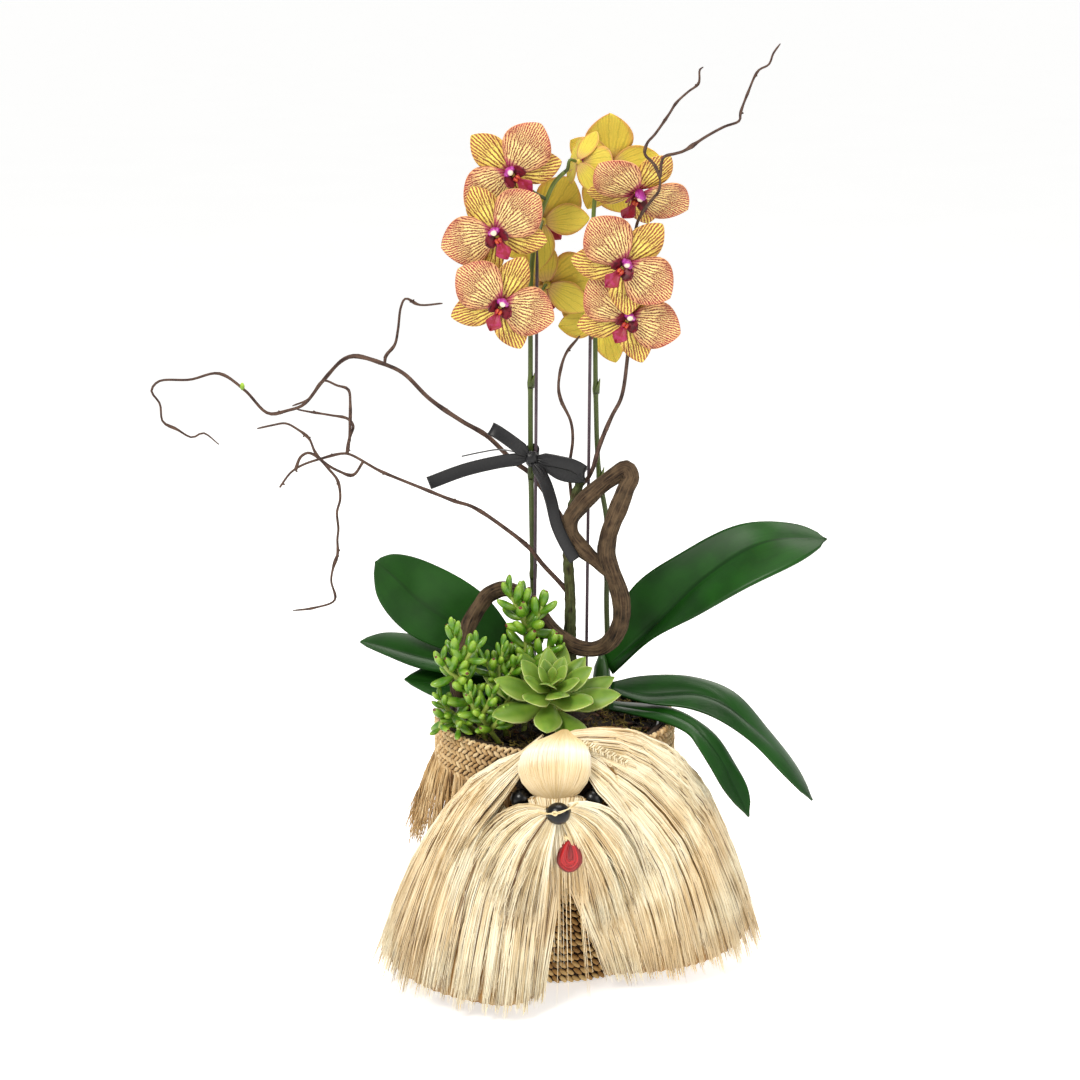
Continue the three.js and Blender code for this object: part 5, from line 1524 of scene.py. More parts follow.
@dataclass
class OrchidLeaves:
    """One plant's strap leaves round its crown."""

    side: Side
    thickness: float = 2.0
    crown_radius: float = 9.0
    crown_foot: float = 222.0
    crown_top: float = 277.0

    def blade(self, name: str, edges: list) -> None:
        """Folds one leaf along its midrib, between its middle and its two edges."""
        middle, upper, lower = edges

        def surface(along: Array, across: Array) -> Array:
            """Places on the leaf."""
            share = np.abs(2 * across - 1)
            edge = np.where((across < 0.5)[:, None], curve_at(upper, along), curve_at(lower, along))
            swell = 2.5 * np.sin(pi * share) * np.sin(pi * along)
            crease = -1.6 * np.exp(-((share / 0.1) ** 2)) * np.sin(pi * np.minimum(along * 1.2, 1))
            place = lerp(curve_at(middle, along), edge, np.power(share, 0.9)[:, None])
            rounded = np.sqrt(np.clip((1 - along) / 0.06, 0, 1))
            place = lerp(curve_at(middle, along), place, np.maximum(rounded, 0.05)[:, None])
            return place + xyz(0, 0, swell + crease)

        shape = Modeller()
        shape.sheet(20, 44, surface)
        leaf = shape.piece(name + "_blade", Slot.LEAF, [LEAF_TOP, LEAF_UNDER], [name])
        thicken(leaf, self.thickness, back=1)

    def crown(self) -> None:
        """Wraps the short stem in the leaves' folded feet."""
        x, y = CROWNS[self.side]
        shape = Modeller()
        path = xyz(x, y, np.linspace(self.crown_foot, self.crown_top, 14))

        def radius(along: Array, across: Array) -> Array:
            """The sheathed stem's radius."""
            sheath = 0.7 * np.floor(3 * (1 - along)) + 0.8 * np.cos(4 * pi * across + 2 * along)
            stem = np.interp(along, [0, 0.75, 1], [self.crown_radius, self.crown_radius - 1.4, 2.5])
            return stem + 0.5 * sheath

        shape.tube(path, radius, 24)
        name = f"crown_{self.side.value}"
        shape.piece(name + "_sheath", Slot.LEAF, [CROWN_GREEN], [name])

    def build(self) -> None:
        """Builds the crown and the leaves."""
        self.crown()
        for number, edges in enumerate(LEAVES[self.side], 1):
            self.blade(f"leaf_{self.side.value}_{number}", edges)


@dataclass
class Bloom:
    """One moth orchid flower.

    Its own frame has X to its right, Y up its face and Z out towards whoever looks at it.
    """

    name: str
    at: tuple
    turn: tuple
    size: float = 1.0
    stalk: tuple | None = None
    cup: float = 0.0
    seed: int = 0
    petal_length: float = 49.0
    petal_half_width: float = 22.5
    sepal_length: float = 45.0
    sepal_half_width: float = 15.0
    root: float = 3.0

    def facing(self) -> Array:
        """The way the flower looks."""
        yaw, pitch = radians(self.turn[0]), radians(self.turn[1])
        return np.array([sin(yaw) * cos(pitch), -cos(yaw) * cos(pitch), sin(pitch)])

    def placed(self, local: Array) -> Array:
        """Moves places from the flower's own frame to the object's."""
        outward = self.facing()
        right = unit(np.cross([0, 0, 1], outward))
        up = np.cross(outward, right)
        roll = radians(self.turn[2])
        spin = np.array([[cos(roll), sin(roll), 0], [-sin(roll), cos(roll), 0], [0, 0, 1]])
        return (local * self.size) @ spin @ np.array([right, up, outward]) + np.array(self.at)

    def blade(self, shape: Modeller, degrees: float, petal: bool, draw: np.random.Generator) -> None:
        """Spreads one petal or sepal.

        Args:
            shape: where it is built.
            degrees: its place round the flower's face.
            petal: whether it is one of the two broad petals.
            draw: seeded random numbers.
        """
        length = (self.petal_length if petal else self.sepal_length) + draw.uniform(-1, 1)
        half = self.petal_half_width if petal else self.sepal_half_width
        lift, droop = (0.0, 2.0) if petal else (-4.2, 2.5)
        angle = radians(degrees + draw.uniform(-3, 3))
        direction = np.array([cos(angle), sin(angle), 0])
        side = np.array([-sin(angle), cos(angle), 0])
        phase, ripple = draw.uniform(0, 2 * pi, 2), 1.3 if petal else 0.8
        lean = draw.uniform(-0.12, 0.12)

        def outline(u: Array) -> Array:
            """The half width's share along the blade."""
            if petal:
                return np.sin(pi * (0.035 + 0.965 * u) ** 1.02) ** 0.7
            return np.sin(pi * (0.04 + 0.96 * u)) ** 0.7

        def surface(along: Array, across: Array) -> Array:
            """Places on the blade."""
            u = np.sin(pi / 2 * along)
            v = 2 * across - 1
            reach = lerp(self.root, length, u)
            fold = 1.8 * v * v * np.sin(pi * u)
            rise = self.cup * (8 * np.sin(pi / 2 * u) + 0.55 * reach)
            wave = ripple * v * v * np.sin(5 * u + phase[0] + 2 * v)
            wave = wave + 0.5 * np.sin(7 * u + 3 * v + phase[1]) * u
            groove = -0.7 * np.exp(-((v / 0.09) ** 2)) * np.sin(pi * u)
            middle = direction * (reach * np.cos(0.9 * self.cup * u))[:, None]
            swing = side * (lean * half * np.sin(pi * u) * u - v * half * outline(u))[:, None]
            height = lift + rise - droop * u * u - fold + wave + groove
            return self.placed(middle + swing + xyz(0, 0, height))

        def chart(along: Array, across: Array) -> Array:
            """The blade laid flat."""
            u = np.sin(pi / 2 * along)
            return np.column_stack([0.5 + (across - 0.5) * outline(u), u])

        def rim(along: Array, across: Array) -> Array:
            """How near a place is to the margin."""
            return np.maximum(np.abs(2 * across - 1) ** 1.5, along**9)

        made = shape.sheet(14, 16, surface, rim, chart, finish=0 if petal else 2)
        bmesh.ops.remove_doubles(shape.mesh, verts=made, dist=2e-5)

    def build_petals(self) -> None:
        """Builds the five blades."""
        draw = seeded(100 + self.seed)
        shape = Modeller()
        for degrees in (90, -40, 220):
            self.blade(shape, degrees, False, draw)
        for degrees in (10, 170):
            self.blade(shape, degrees, True, draw)
        finishes = [PETAL_FRONT, PETAL_BEHIND, SEPAL_FRONT, PETAL_BEHIND]
        piece = shape.piece(f"{self.name}_blades", Slot.PETAL, finishes, [f"{self.name}_petals"])
        thicken(piece, 0.7, back=1)

    def build_column(self) -> None:
        """Builds the hub behind the blades and the column with its cap."""
        shape = Modeller()
        hub = self.placed(xyz(0, 0, np.linspace(-8, 1.2, 9)))
        shape.tube(hub, lambda u, v: self.size * np.interp(u, [0, 0.4, 1], [1.7, 3.4, 4.2]), 14, finish=1)
        path = self.placed(spaced([[0, 1.2, 0], [0, 2.4, 3.5], [0, 2.2, 7], [0, 0.6, 10]], 12))
        shape.tube(path, lambda u, v: self.size * np.interp(u, [0, 0.5, 0.8, 1], [4.2, 3.6, 3.2, 1.8]), 14)
        for side in (-1, 1):
            shape.ball(8, 6, lambda p: self.placed(p * [2.2, 2.6, 3.4] + [side * 3.6, 2.2, 4.5]), 0.2)
        shape.piece(f"{self.name}_column", Slot.LIP, [COLUMN_WHITE, PETAL_BEHIND])

    def build_lip(self) -> None:
        """Builds the two upswept side lobes, the pointed middle lobe and the spotted crest."""
        shape = Modeller()

        def middle_lobe(along: Array, across: Array) -> Array:
            """Places on the middle lobe."""
            v = 2 * across - 1
            half = np.interp(along, [0, 0.28, 0.5, 0.68, 0.85, 1], [3.6, 2.4, 5.4, 7.6, 4.4, 0.15])
            y = -5 - 19 * along + 1.2 * v * v * np.sin(pi * along)
            z = 3 + 6 * np.sin(2.2 * along) + 1.6 * v * v - 1.2 * np.exp(-((v / 0.2) ** 2)) * along
            return self.placed(xyz(v * half, y, z))

        shape.sheet(12, 18, middle_lobe, chart=lambda u, v: np.column_stack([v, u]))
        for sign in (-1, 1):

            def side_lobe(along: Array, across: Array, sign: int = sign) -> Array:
                """Places on a side lobe."""
                v = 2 * across - 1
                half = 6.0 * np.sin(pi * (0.12 + 0.85 * along)) ** 0.7
                x = 2.0 + 8.6 * np.sin(0.55 * pi * along) - 1.6 * v * v
                y = -3.5 - 0.8 * along + v * half
                z = 2.5 + 10.5 * along - 1.6 * v * v
                return self.placed(xyz(sign * x, y, z))

            shape.sheet(8, 10, side_lobe, finish=1)
        piece = shape.piece(f"{self.name}_labellum", Slot.LIP, [LIP_LOBE, LIP_CRIMSON], [f"{self.name}_lip"])
        thicken(piece, 0.9)
        crest = Modeller()
        for x in (-1.5, 1.5):
            crest.ball(10, 8, lambda p: self.placed(p * [1.7, 2.6, 2.2] + [x, -6.4, 6.4]))
        crest.piece(f"{self.name}_crest", Slot.LIP, [CREST])

    def build(self) -> None:
        """Builds the flower."""
        self.build_petals()
        self.build_column()
        self.build_lip()


BLOOMS = [
    Bloom("bloom_left_1", (-39, -8, 722), (6, -3, 48), 1, (-8, 11, 697), seed=1),
    Bloom("bloom_left_2", (-52, -21, 671), (-5, -3, 28), 1, (-19, 15, 652), seed=2),
    Bloom("bloom_left_3", (-47, -34, 611), (4, -3, -26), 1, (-22, 15, 592), seed=3),
    Bloom("bloom_left_4", (-11, 46, 674), (178, -4, -45), 0.95, (-16, 14, 668), seed=4),
    Bloom("bloom_left_5", (-7, 48, 617), (172, -4, -12), 0.95, (-21, 15, 606), seed=5),
    Bloom("bloom_left_6", (22, 14, 729), (128, -12, 12), 0.72, cup=0.55, seed=6),
    Bloom("bloom_right_1", (72, -10, 704), (4, -38, -33), 1, (36, 21, 697), seed=7),
    Bloom("bloom_right_2", (60, -32, 645), (3, -3, -45), 1.03, (34, 22, 636), seed=8),
    Bloom("bloom_right_3", (64, -14, 596), (3, -3, -30), 0.98, (35, 23, 586), seed=9),
    Bloom("bloom_right_4", (49, 66, 723), (186, 16, 77), 0.98, seed=10),
    Bloom("bloom_right_5", (43, 50, 585), (176, -4, 30), 0.9, (35, 23, 596), seed=11),
]
SPIKES = {
    Side.LEFT: [
        [-21, 30, 262], [-20, 22, 292], [-20, 19, 346], [-21, 18, 406], [-22, 17, 471], [-22, 16, 567],
        [-22, 15, 608], [-20, 15, 646], [-14, 13, 679], [-7, 11, 699], [0, 9, 713], [8, 9, 721],
    ],
    Side.RIGHT: [
        [49, 34, 262], [49, 29, 290], [48, 26, 328], [48, 26, 399], [40, 25, 450], [37, 24, 516],
        [36, 24, 574], [35, 23, 625], [34, 22, 684], [36, 21, 704], [40, 20, 716],
    ],
}
STAKES = {Side.LEFT: [(-19, 8, 215), (-16, 8, 653)], Side.RIGHT: [(29, 14, 215), (32, 14, 676)]}


@dataclass
class Spike:
    """A plant's flower stalk with its joints, bracts and pedicels, and the stake beside it."""

    side: Side
    base: float
    tip: float
    joints: tuple = (0.2, 0.4, 0.58)
    steps: int = 140

    def stalk(self) -> None:
        """Builds the stalk and a pedicel to the back of each of its flowers."""
        route = SPIKES[self.side]
        path = spaced(route, self.steps)
        shape = Modeller()

        def radius(along: Array, across: Array) -> Array:
            """The stalk's radius, swollen at its joints."""
            swell = sum(0.8 * np.exp(-(((along - joint) / 0.009) ** 2)) for joint in self.joints)
            return lerp(self.base, self.tip, along) + swell

        shape.tube(path, radius, 14)
        for joint in self.joints:
            self.bract(shape, path, int(joint * (self.steps - 1)))
        for bloom in (bloom for bloom in BLOOMS if self.side.value in bloom.name):
            start = np.array(bloom.stalk or route[-1], float)
            outward = bloom.facing()
            end = np.array(bloom.at) - outward * (8 * bloom.size + 0.35)
            bend = lerp(start, end, 0.5) - outward * 3 - [0, 0, 3]
            way = spaced([start, bend, end - outward * 6, end + outward * 2], 18)
            shape.tube(way, lambda u, v: lerp(1.7, 1.35, u), 10, 0.75)
        name = f"spike_{self.side.value}"
        shape.piece(name + "_stalk", Slot.SPIKE, [SPIKE_GREEN], [name])

    def bract(self, shape: Modeller, path: Array, at: int) -> None:
        """Folds a small pointed sheath round a joint."""
        centre = path[at]

        def surface(along: Array, across: Array) -> Array:
            """Places on the sheath."""
            angle = lerp(-2.2, 2.2, across) * (1 - 0.75 * along)
            reach = self.base + 0.9 + 0.6 * along
            return centre + xyz(reach * np.cos(angle), -reach * np.sin(angle), 13 * along - 1)

        made = shape.sheet(10, 6, surface, 0.8)
        faces = list({face for point in made for face in point.link_faces})
        bmesh.ops.solidify(shape.mesh, geom=faces, thickness=0.5 * MM)

    def stake(self) -> None:
        """Builds the thin dark stake."""
        low, high = (np.array(end, float) for end in STAKES[self.side])
        shape = Modeller()
        path = lerp(low, high, np.linspace(0, 1, 40)[:, None])
        shape.tube(path, lambda u, v: np.interp(u, [0, 0.995, 1], [1.5, 1.45, 0.8]), 12)
        name = f"stake_{self.side.value}"
        shape.piece(name + "_rod", Slot.STAKE, [STAKE_WOOD], [name])

    def build(self) -> None:
        """Builds the stalk and the stake."""
        self.stalk()
        self.stake()


# Companion plants


@dataclass
class Stonecrop:
    """A stem of jelly-bean stonecrop, crowded with plump leaves towards its tip."""

    number: int
    stalks: list
    leaves: list
    length: float
    red_tips: float = 0.45
    steps: int = 24

    def bean(
        self, shape: Modeller, base: Array, direction: Array, length: float, tone: float, red: bool
    ) -> None:
        """Swells one leaf that bends up towards its tip."""
        side = unit(np.cross(direction, [0.1, 0.05, 1]))
        top = np.cross(side, direction)
        radius = 0.225 * length

        def form(p: Array) -> Array:
            """Places on the leaf's skin."""
            t = (p[:, 2] + 1) / 2
            fat = radius * (0.72 + 0.5 * t - 0.2 * t * t)
            bend = 0.2 * length * t * t
            middle = base + direction * (length * t)[:, None] + top * bend[:, None]
            return middle + side * (p[:, 0] * fat)[:, None] + top * (p[:, 1] * fat * 0.86)[:, None]

        shape.ball(9, 9, form, tone, cap=3 if red else 0)

    def build(self) -> None:
        """Builds the stems and their leaves."""
        draw = seeded(200 + self.number)
        shape = Modeller()
        for stalk, count in zip(self.stalks, self.leaves):
            path = spaced(stalk, self.steps)
            tangents = unit(np.gradient(path, axis=0))
            shape.tube(path, lambda u, v: lerp(2.6, 1.6, u), 8, finish=1)
            start = 0.0 if len(stalk) < 4 else 0.3
            for k in range(count):
                t = lerp(start, 0.995, k / max(1, count - 1))
                at = int(t * (self.steps - 1))
                along = tangents[at]
                out = unit(np.cross(along, [0.2, 1, 0.1]))
                spin = np.array(Matrix.Rotation(k * GOLDEN_ANGLE + self.number, 3, Vector(along)))
                near_tip = (t - start) / (1 - start)
                spread = radians(lerp(74, 20, near_tip**1.8) + draw.uniform(-7, 7))
                direction = along * cos(spread) + (spin @ out) * sin(spread)
                length = self.length * lerp(1.0, 0.66, near_tip**2) * draw.uniform(0.86, 1.1)
                red = draw.uniform(0, 1) < self.red_tips
                self.bean(shape, path[at], direction, length, draw.uniform(0.25, 0.75), red)
        name = f"stonecrop_{self.number}"
        shape.piece(name + "_leaves", Slot.STONECROP, [BEAN_GREEN, BEAN_STEM, BEAN_TIP], [name])


STONECROPS = [
    Stonecrop(1, [
        [[-28, -44, 220], [-26, -29, 268], [-27, -28, 315], [-29, -28, 350]],
        [[-26, -28, 318], [-34, -29, 336], [-41, -30, 350]],
        [[-26, -28, 312], [-16, -30, 328], [-11, -31, 338]],
        [[-26, -29, 276], [-14, -33, 290], [-4, -35, 302]],
        [[-26, -29, 272], [-36, -34, 284], [-42, -36, 294]],
    ], [22, 10, 9, 9, 8], 25),
    Stonecrop(2, [
        [[-62, -56, 220], [-76, -62, 258], [-87, -66, 296], [-90, -68, 330]],
        [[-84, -65, 278], [-96, -68, 290], [-100, -70, 298]],
        [[-84, -65, 290], [-76, -68, 304], [-71, -69, 312]],
    ], [19, 7, 8], 24),
    Stonecrop(3, [
        [[-44, -46, 220], [-50, -48, 268], [-50, -50, 286], [-46, -52, 308]],
        [[-50, -49, 270], [-58, -52, 284], [-63, -54, 295]],
        [[-48, -49, 266], [-40, -52, 280], [-36, -54, 290]],
        [[-47, -47, 245], [-42, -58, 258], [-38, -64, 268]],
    ], [15, 10, 9, 7], 19),
    Stonecrop(4, [[[-8, -16, 220], [-5, -25, 275], [0, -28, 292], [5, -29, 304]]], [13], 17),
    Stonecrop(5, [
        [[-50, -66, 220], [-66, -76, 248], [-73, -80, 260], [-76, -82, 276]],
        [[-66, -76, 248], [-60, -80, 260], [-56, -82, 272]],
        [[-58, -71, 234], [-52, -80, 244], [-47, -84, 252]],
    ], [13, 8, 7], 19, 0.25),
    Stonecrop(6, [
        [[-68, -42, 220], [-86, -54, 240], [-97, -63, 252], [-103, -69, 264]],
        [[-97, -63, 248], [-101, -68, 241], [-103, -73, 236]],
        [[-90, -58, 244], [-87, -69, 239], [-86, -76, 236]],
    ], [12, 5, 5], 20, 0.6),
]


@dataclass
class Echeveria:
    """The rosette of broad pointed leaves that leans towards the front."""

    centre: tuple = (-4.0, -66.0, 268.0)
    axis: tuple = (0.04, -0.6, 0.8)
    length: float = 75.0
    leaves: int = 25

    def leaf(self, shape: Modeller, number: int, draw: np.random.Generator) -> None:
        """Grows one leaf in its place in the spiral."""
        axis = unit(self.axis)
        rank = number / (self.leaves - 1)
        side = unit(np.array([1.0, 0, 0]) - axis * axis[0])
        spin = np.array(Matrix.Rotation(number * GOLDEN_ANGLE + 0.4, 3, Vector(axis)))
        out = spin @ side
        length = lerp(self.length, 22, rank**1.5) * draw.uniform(0.94, 1.03) * (1 - 0.3 * max(0, out[1]))
        raise_angle = radians(lerp(24, 72, rank**0.9) + draw.uniform(-4, 4))
        across = np.cross(axis, out)
        direction = out * cos(raise_angle) + axis * sin(raise_angle)
        top = -np.cross(direction, across)
        start = np.array(self.centre) + axis * lerp(-28, 13, rank)
        half = length * lerp(0.185, 0.25, rank)

        def form(p: Array) -> Array:
            """Places on the leaf's skin."""
            t = np.arccos(np.clip(-p[:, 2], -1, 1)) / pi
            ring = np.maximum(np.hypot(p[:, 0], p[:, 1]), 1e-6)
            u, w = p[:, 0] / ring, p[:, 1] / ring
            widths = [0.4, 0.5, 0.76, 0.95, 1.0, 0.86, 0.5, 0.2, 0.0]
            wide = half * np.interp(t, [0, 0.2, 0.36, 0.5, 0.58, 0.74, 0.88, 0.96, 1], widths)
            thick = np.interp(t, [0, 0.3, 0.7, 0.93, 1], [2.2, 2.9, 2.6, 1.2, 0.1]) * length / self.length
            curl = 0.16 * length * t * t + 0.3 * wide * u * u
            sag = np.where(w < 0, 1.0, 0.3) * w * thick
            middle = start + direction * (length * t)[:, None]
            return middle + across * (u * wide)[:, None] + top * (curl + sag)[:, None]

        def margin(p: Array) -> Array:
            """How near a point is to the leaf's margin."""
            ring = np.maximum(np.hypot(p[:, 0], p[:, 1]), 1e-6)
            return np.where(p[:, 2] > 0.99, 1.0, np.abs(p[:, 0]) / ring)

        shape.ball(16, 16, form, margin)

    def build(self) -> None:
        """Builds the neck and the rosette."""
        draw = seeded(61)
        shape = Modeller()
        neck = spaced([[-3, -40, 218], [-3, -49, 240], [-1, -67, 272]], 10)
        shape.tube(neck, 5.0, 12)
        for number in range(self.leaves):
            self.leaf(shape, number, draw)
        shape.piece("echeveria_rosette", Slot.ECHEVERIA, [ROSETTE_LEAF], ["echeveria"])


@dataclass
class Vine:
    """The thick woody stem that loops over itself."""

    route: tuple = (
        (-76, -28, 218), (-84, -36, 246), (-88, -37, 262), (-88, -35, 276), (-84, -31, 294), (-78, -23, 317),
        (-69, -16, 333), (-60, -10, 343), (-45, -6, 347), (-27, -6, 338), (-6, -9, 313), (2, -12, 306),
        (15, -14, 297), (29, -17, 293), (43, -21, 296), (53, -25, 307), (59, -28, 322), (60, -30, 339),
        (57, -32, 355), (51, -33, 371), (46, -33, 386), (47, -32, 401), (51, -31, 415), (57, -28, 430),
        (63, -25, 445), (68, -22, 454), (64, -19, 462), (53, -17, 455), (37, -16, 442), (24, -16, 429),
        (14, -17, 415), (14, -18, 402), (22, -20, 391), (33, -24, 381), (44, -30, 372), (52, -33, 365),
    )

    def build(self) -> None:
        """Builds the stem with its twisted ridges and knots."""
        shape = Modeller()
        path = spaced(self.route, 230)

        def radius(along: Array, across: Array) -> Array:
            """The stem's radius."""
            taper = np.interp(along, [0, 0.6, 0.94, 1], [6.7, 7.9, 7.6, 4.2])
            angle = 2 * pi * across
            twist = 0.45 * np.sin(3 * angle + 34 * along) + 0.3 * np.sin(5 * angle - 50 * along)
            knots = 0.5 * np.sin(61 * along) * np.sin(23 * along + 1)
            chips = 0.3 * waves(9 * np.cos(angle) + 260 * along, 9 * np.sin(angle), 7.0, 71)
            return taper + twist + knots + chips

        shape.tube(path, radius, 22)
        shape.piece("vine_stem", Slot.VINE, [VINE_BARK], ["vine"])


TRUNK = [
    [14, 2, 216], [14, 2, 250], [14, 2, 299], [14, 2, 338], [12, 3, 375], [14, 4, 400], [16, 5, 421],
    [22, 4, 442], [25, 4, 449],
]
TWIGS = [
    (3, 1.2, [
        [12, 4, 400], [7, 7, 409], [-11, 20, 434], [-23, 26, 448], [-37, 27, 458], [-62, 24, 483],
        [-84, 20, 497], [-113, 18, 518], [-136, 18, 541], [-153, 20, 549], [-180, 23, 556], [-191, 26, 552],
        [-210, 29, 532], [-228, 32, 510], [-243, 35, 504], [-261, 37, 501], [-282, 39, 522], [-305, 41, 537],
        [-332, 43, 531], [-361, 45, 529], [-368, 46, 520], [-361, 47, 508], [-359, 48, 491], [-347, 49, 484],
        [-333, 50, 476], [-323, 51, 480], [-309, 52, 469],
    ]),
    (1.7, 1.2, [
        [-153, 20, 549], [-152, 22, 556], [-144, 24, 566], [-141, 25, 579], [-138, 27, 600], [-134, 29, 607],
        [-122, 32, 601], [-101, 34, 602],
    ]),
    (2.8, 1.3, [
        [13, 3, 340], [8, 2, 347], [-11, -2, 369], [-23, -5, 385], [-43, -9, 403], [-74, -12, 425],
        [-90, -15, 431], [-117, -19, 443], [-137, -22, 452], [-156, -25, 461], [-182, -30, 477],
        [-189, -32, 478], [-207, -35, 474], [-223, -38, 469], [-233, -41, 463], [-243, -44, 450],
    ]),
    (1.8, 1.2, [
        [-184, -31, 478], [-182, -26, 491], [-179, -20, 500], [-185, -9, 505], [-201, 2, 506],
        [-221, 13, 507], [-233, 24, 507],
    ]),
    (1.6, 1.2, [
        [-182, -27, 488], [-181, -23, 521], [-183, -15, 532], [-194, -4, 534], [-208, 8, 536],
        [-222, 16, 518], [-237, 20, 511],
    ]),
    (1.6, 1.2, [
        [-170, -28, 470], [-179, -34, 459], [-191, -40, 464], [-201, -44, 471], [-210, -49, 482],
        [-215, -54, 496], [-224, -59, 505], [-234, -62, 511], [-246, -66, 510], [-258, -70, 508],
    ]),
    (1.6, 1.2, [
        [-229, -40, 465], [-224, -42, 477], [-217, -43, 481], [-208, -46, 477], [-198, -50, 467],
        [-191, -52, 458], [-189, -53, 442], [-192, -54, 430], [-191, -55, 415], [-192, -56, 406],
        [-192, -57, 393], [-196, -58, 381], [-198, -59, 369], [-195, -61, 352], [-213, -62, 345],
        [-232, -64, 343],
    ]),
    (2, 1.5, [
        [16, 6, 420], [13, 9, 455], [16, 8, 483], [14, 6, 500], [5, 4, 520], [3, 4, 533], [9, 5, 560],
        [22, 6, 577],
    ]),
    (2.4, 1.7, [
        [22, 4, 440], [29, 3, 447], [34, 2, 457], [40, 3, 478], [51, 4, 505], [59, 4, 521], [64, 4, 554],
        [67, 3, 613], [69, 0, 655], [71, -4, 676], [75, -18, 688], [82, -40, 701], [88, -54, 712],
        [88, -58, 723],
    ]),
    (1.6, 1.2, [
        [88, -58, 722], [83, -59, 733], [75, -59, 742], [77, -59, 751], [83, -60, 758], [95, -59, 775],
        [101, -56, 784], [111, -53, 793], [120, -50, 800], [121, -47, 811], [124, -44, 813],
    ]),
    (1.7, 1.2, [
        [88, -58, 722], [91, -58, 739], [101, -57, 742], [108, -55, 744], [127, -53, 756], [142, -52, 764],
        [155, -50, 769], [156, -47, 775], [162, -43, 791], [171, -40, 810], [180, -37, 815], [184, -33, 824],
        [190, -30, 832],
    ]),
]


@dataclass
class Willow:
    """The mossy trunk with its crooked twigs and buds."""

    trunk_foot: float = 6.5
    trunk_top: float = 4.0
    bud_at: tuple = (-284.0, 38.5, 525.5)

    def build(self) -> None:
        """Builds the trunk, the twigs and their buds."""
        draw = seeded(81)
        shape = Modeller()
        path = spaced(TRUNK, 70)

        def radius(along: Array, across: Array) -> Array:
            """The trunk's radius."""
            angle = 2 * pi * across
            lumps = 0.5 * waves(8 * np.cos(angle) + 230 * along, 8 * np.sin(angle), 9.0, 82)
            lumps = lumps + 0.3 * np.sin(4 * angle + 9 * along)
            return lerp(self.trunk_foot, self.trunk_top, along) + lumps

        shape.tube(path, radius, 16)
        for first, last, bends in TWIGS:
            steps = 5 * len(bends)
            way = spaced(bends, steps)
            knuckles = draw.uniform(0, 1, len(bends) // 2)

            def width(along: Array, across: Array) -> Array:
                """The twig's radius, thicker at its knuckles."""
                swell = sum(0.35 * np.exp(-(((along - k) * steps / 1.4) ** 2)) for k in knuckles)
                return 0.82 * lerp(first, last, along) * np.interp(along, [0, 0.97, 1], [1, 0.9, 0.5]) + swell

            shape.tube(way, width, 8, finish=1)
            for k in knuckles:
                at = way[int(k * (steps - 1))]
                lean = unit(draw.normal(0, 1, 3))
                shape.ball(6, 5, lambda p: at + p * 0.9 + lean * (1.1 + 1.0 * (p @ lean))[:, None], finish=1)
        shape.ball(10, 8, lambda p: np.array(self.bud_at) + p * [2.2, 1.8, 3.6], finish=2)
        shape.piece("willow_wood", Slot.WILLOW, [WILLOW_BARK, TWIG_BARK, BUD_GREEN], ["willow_branch"])


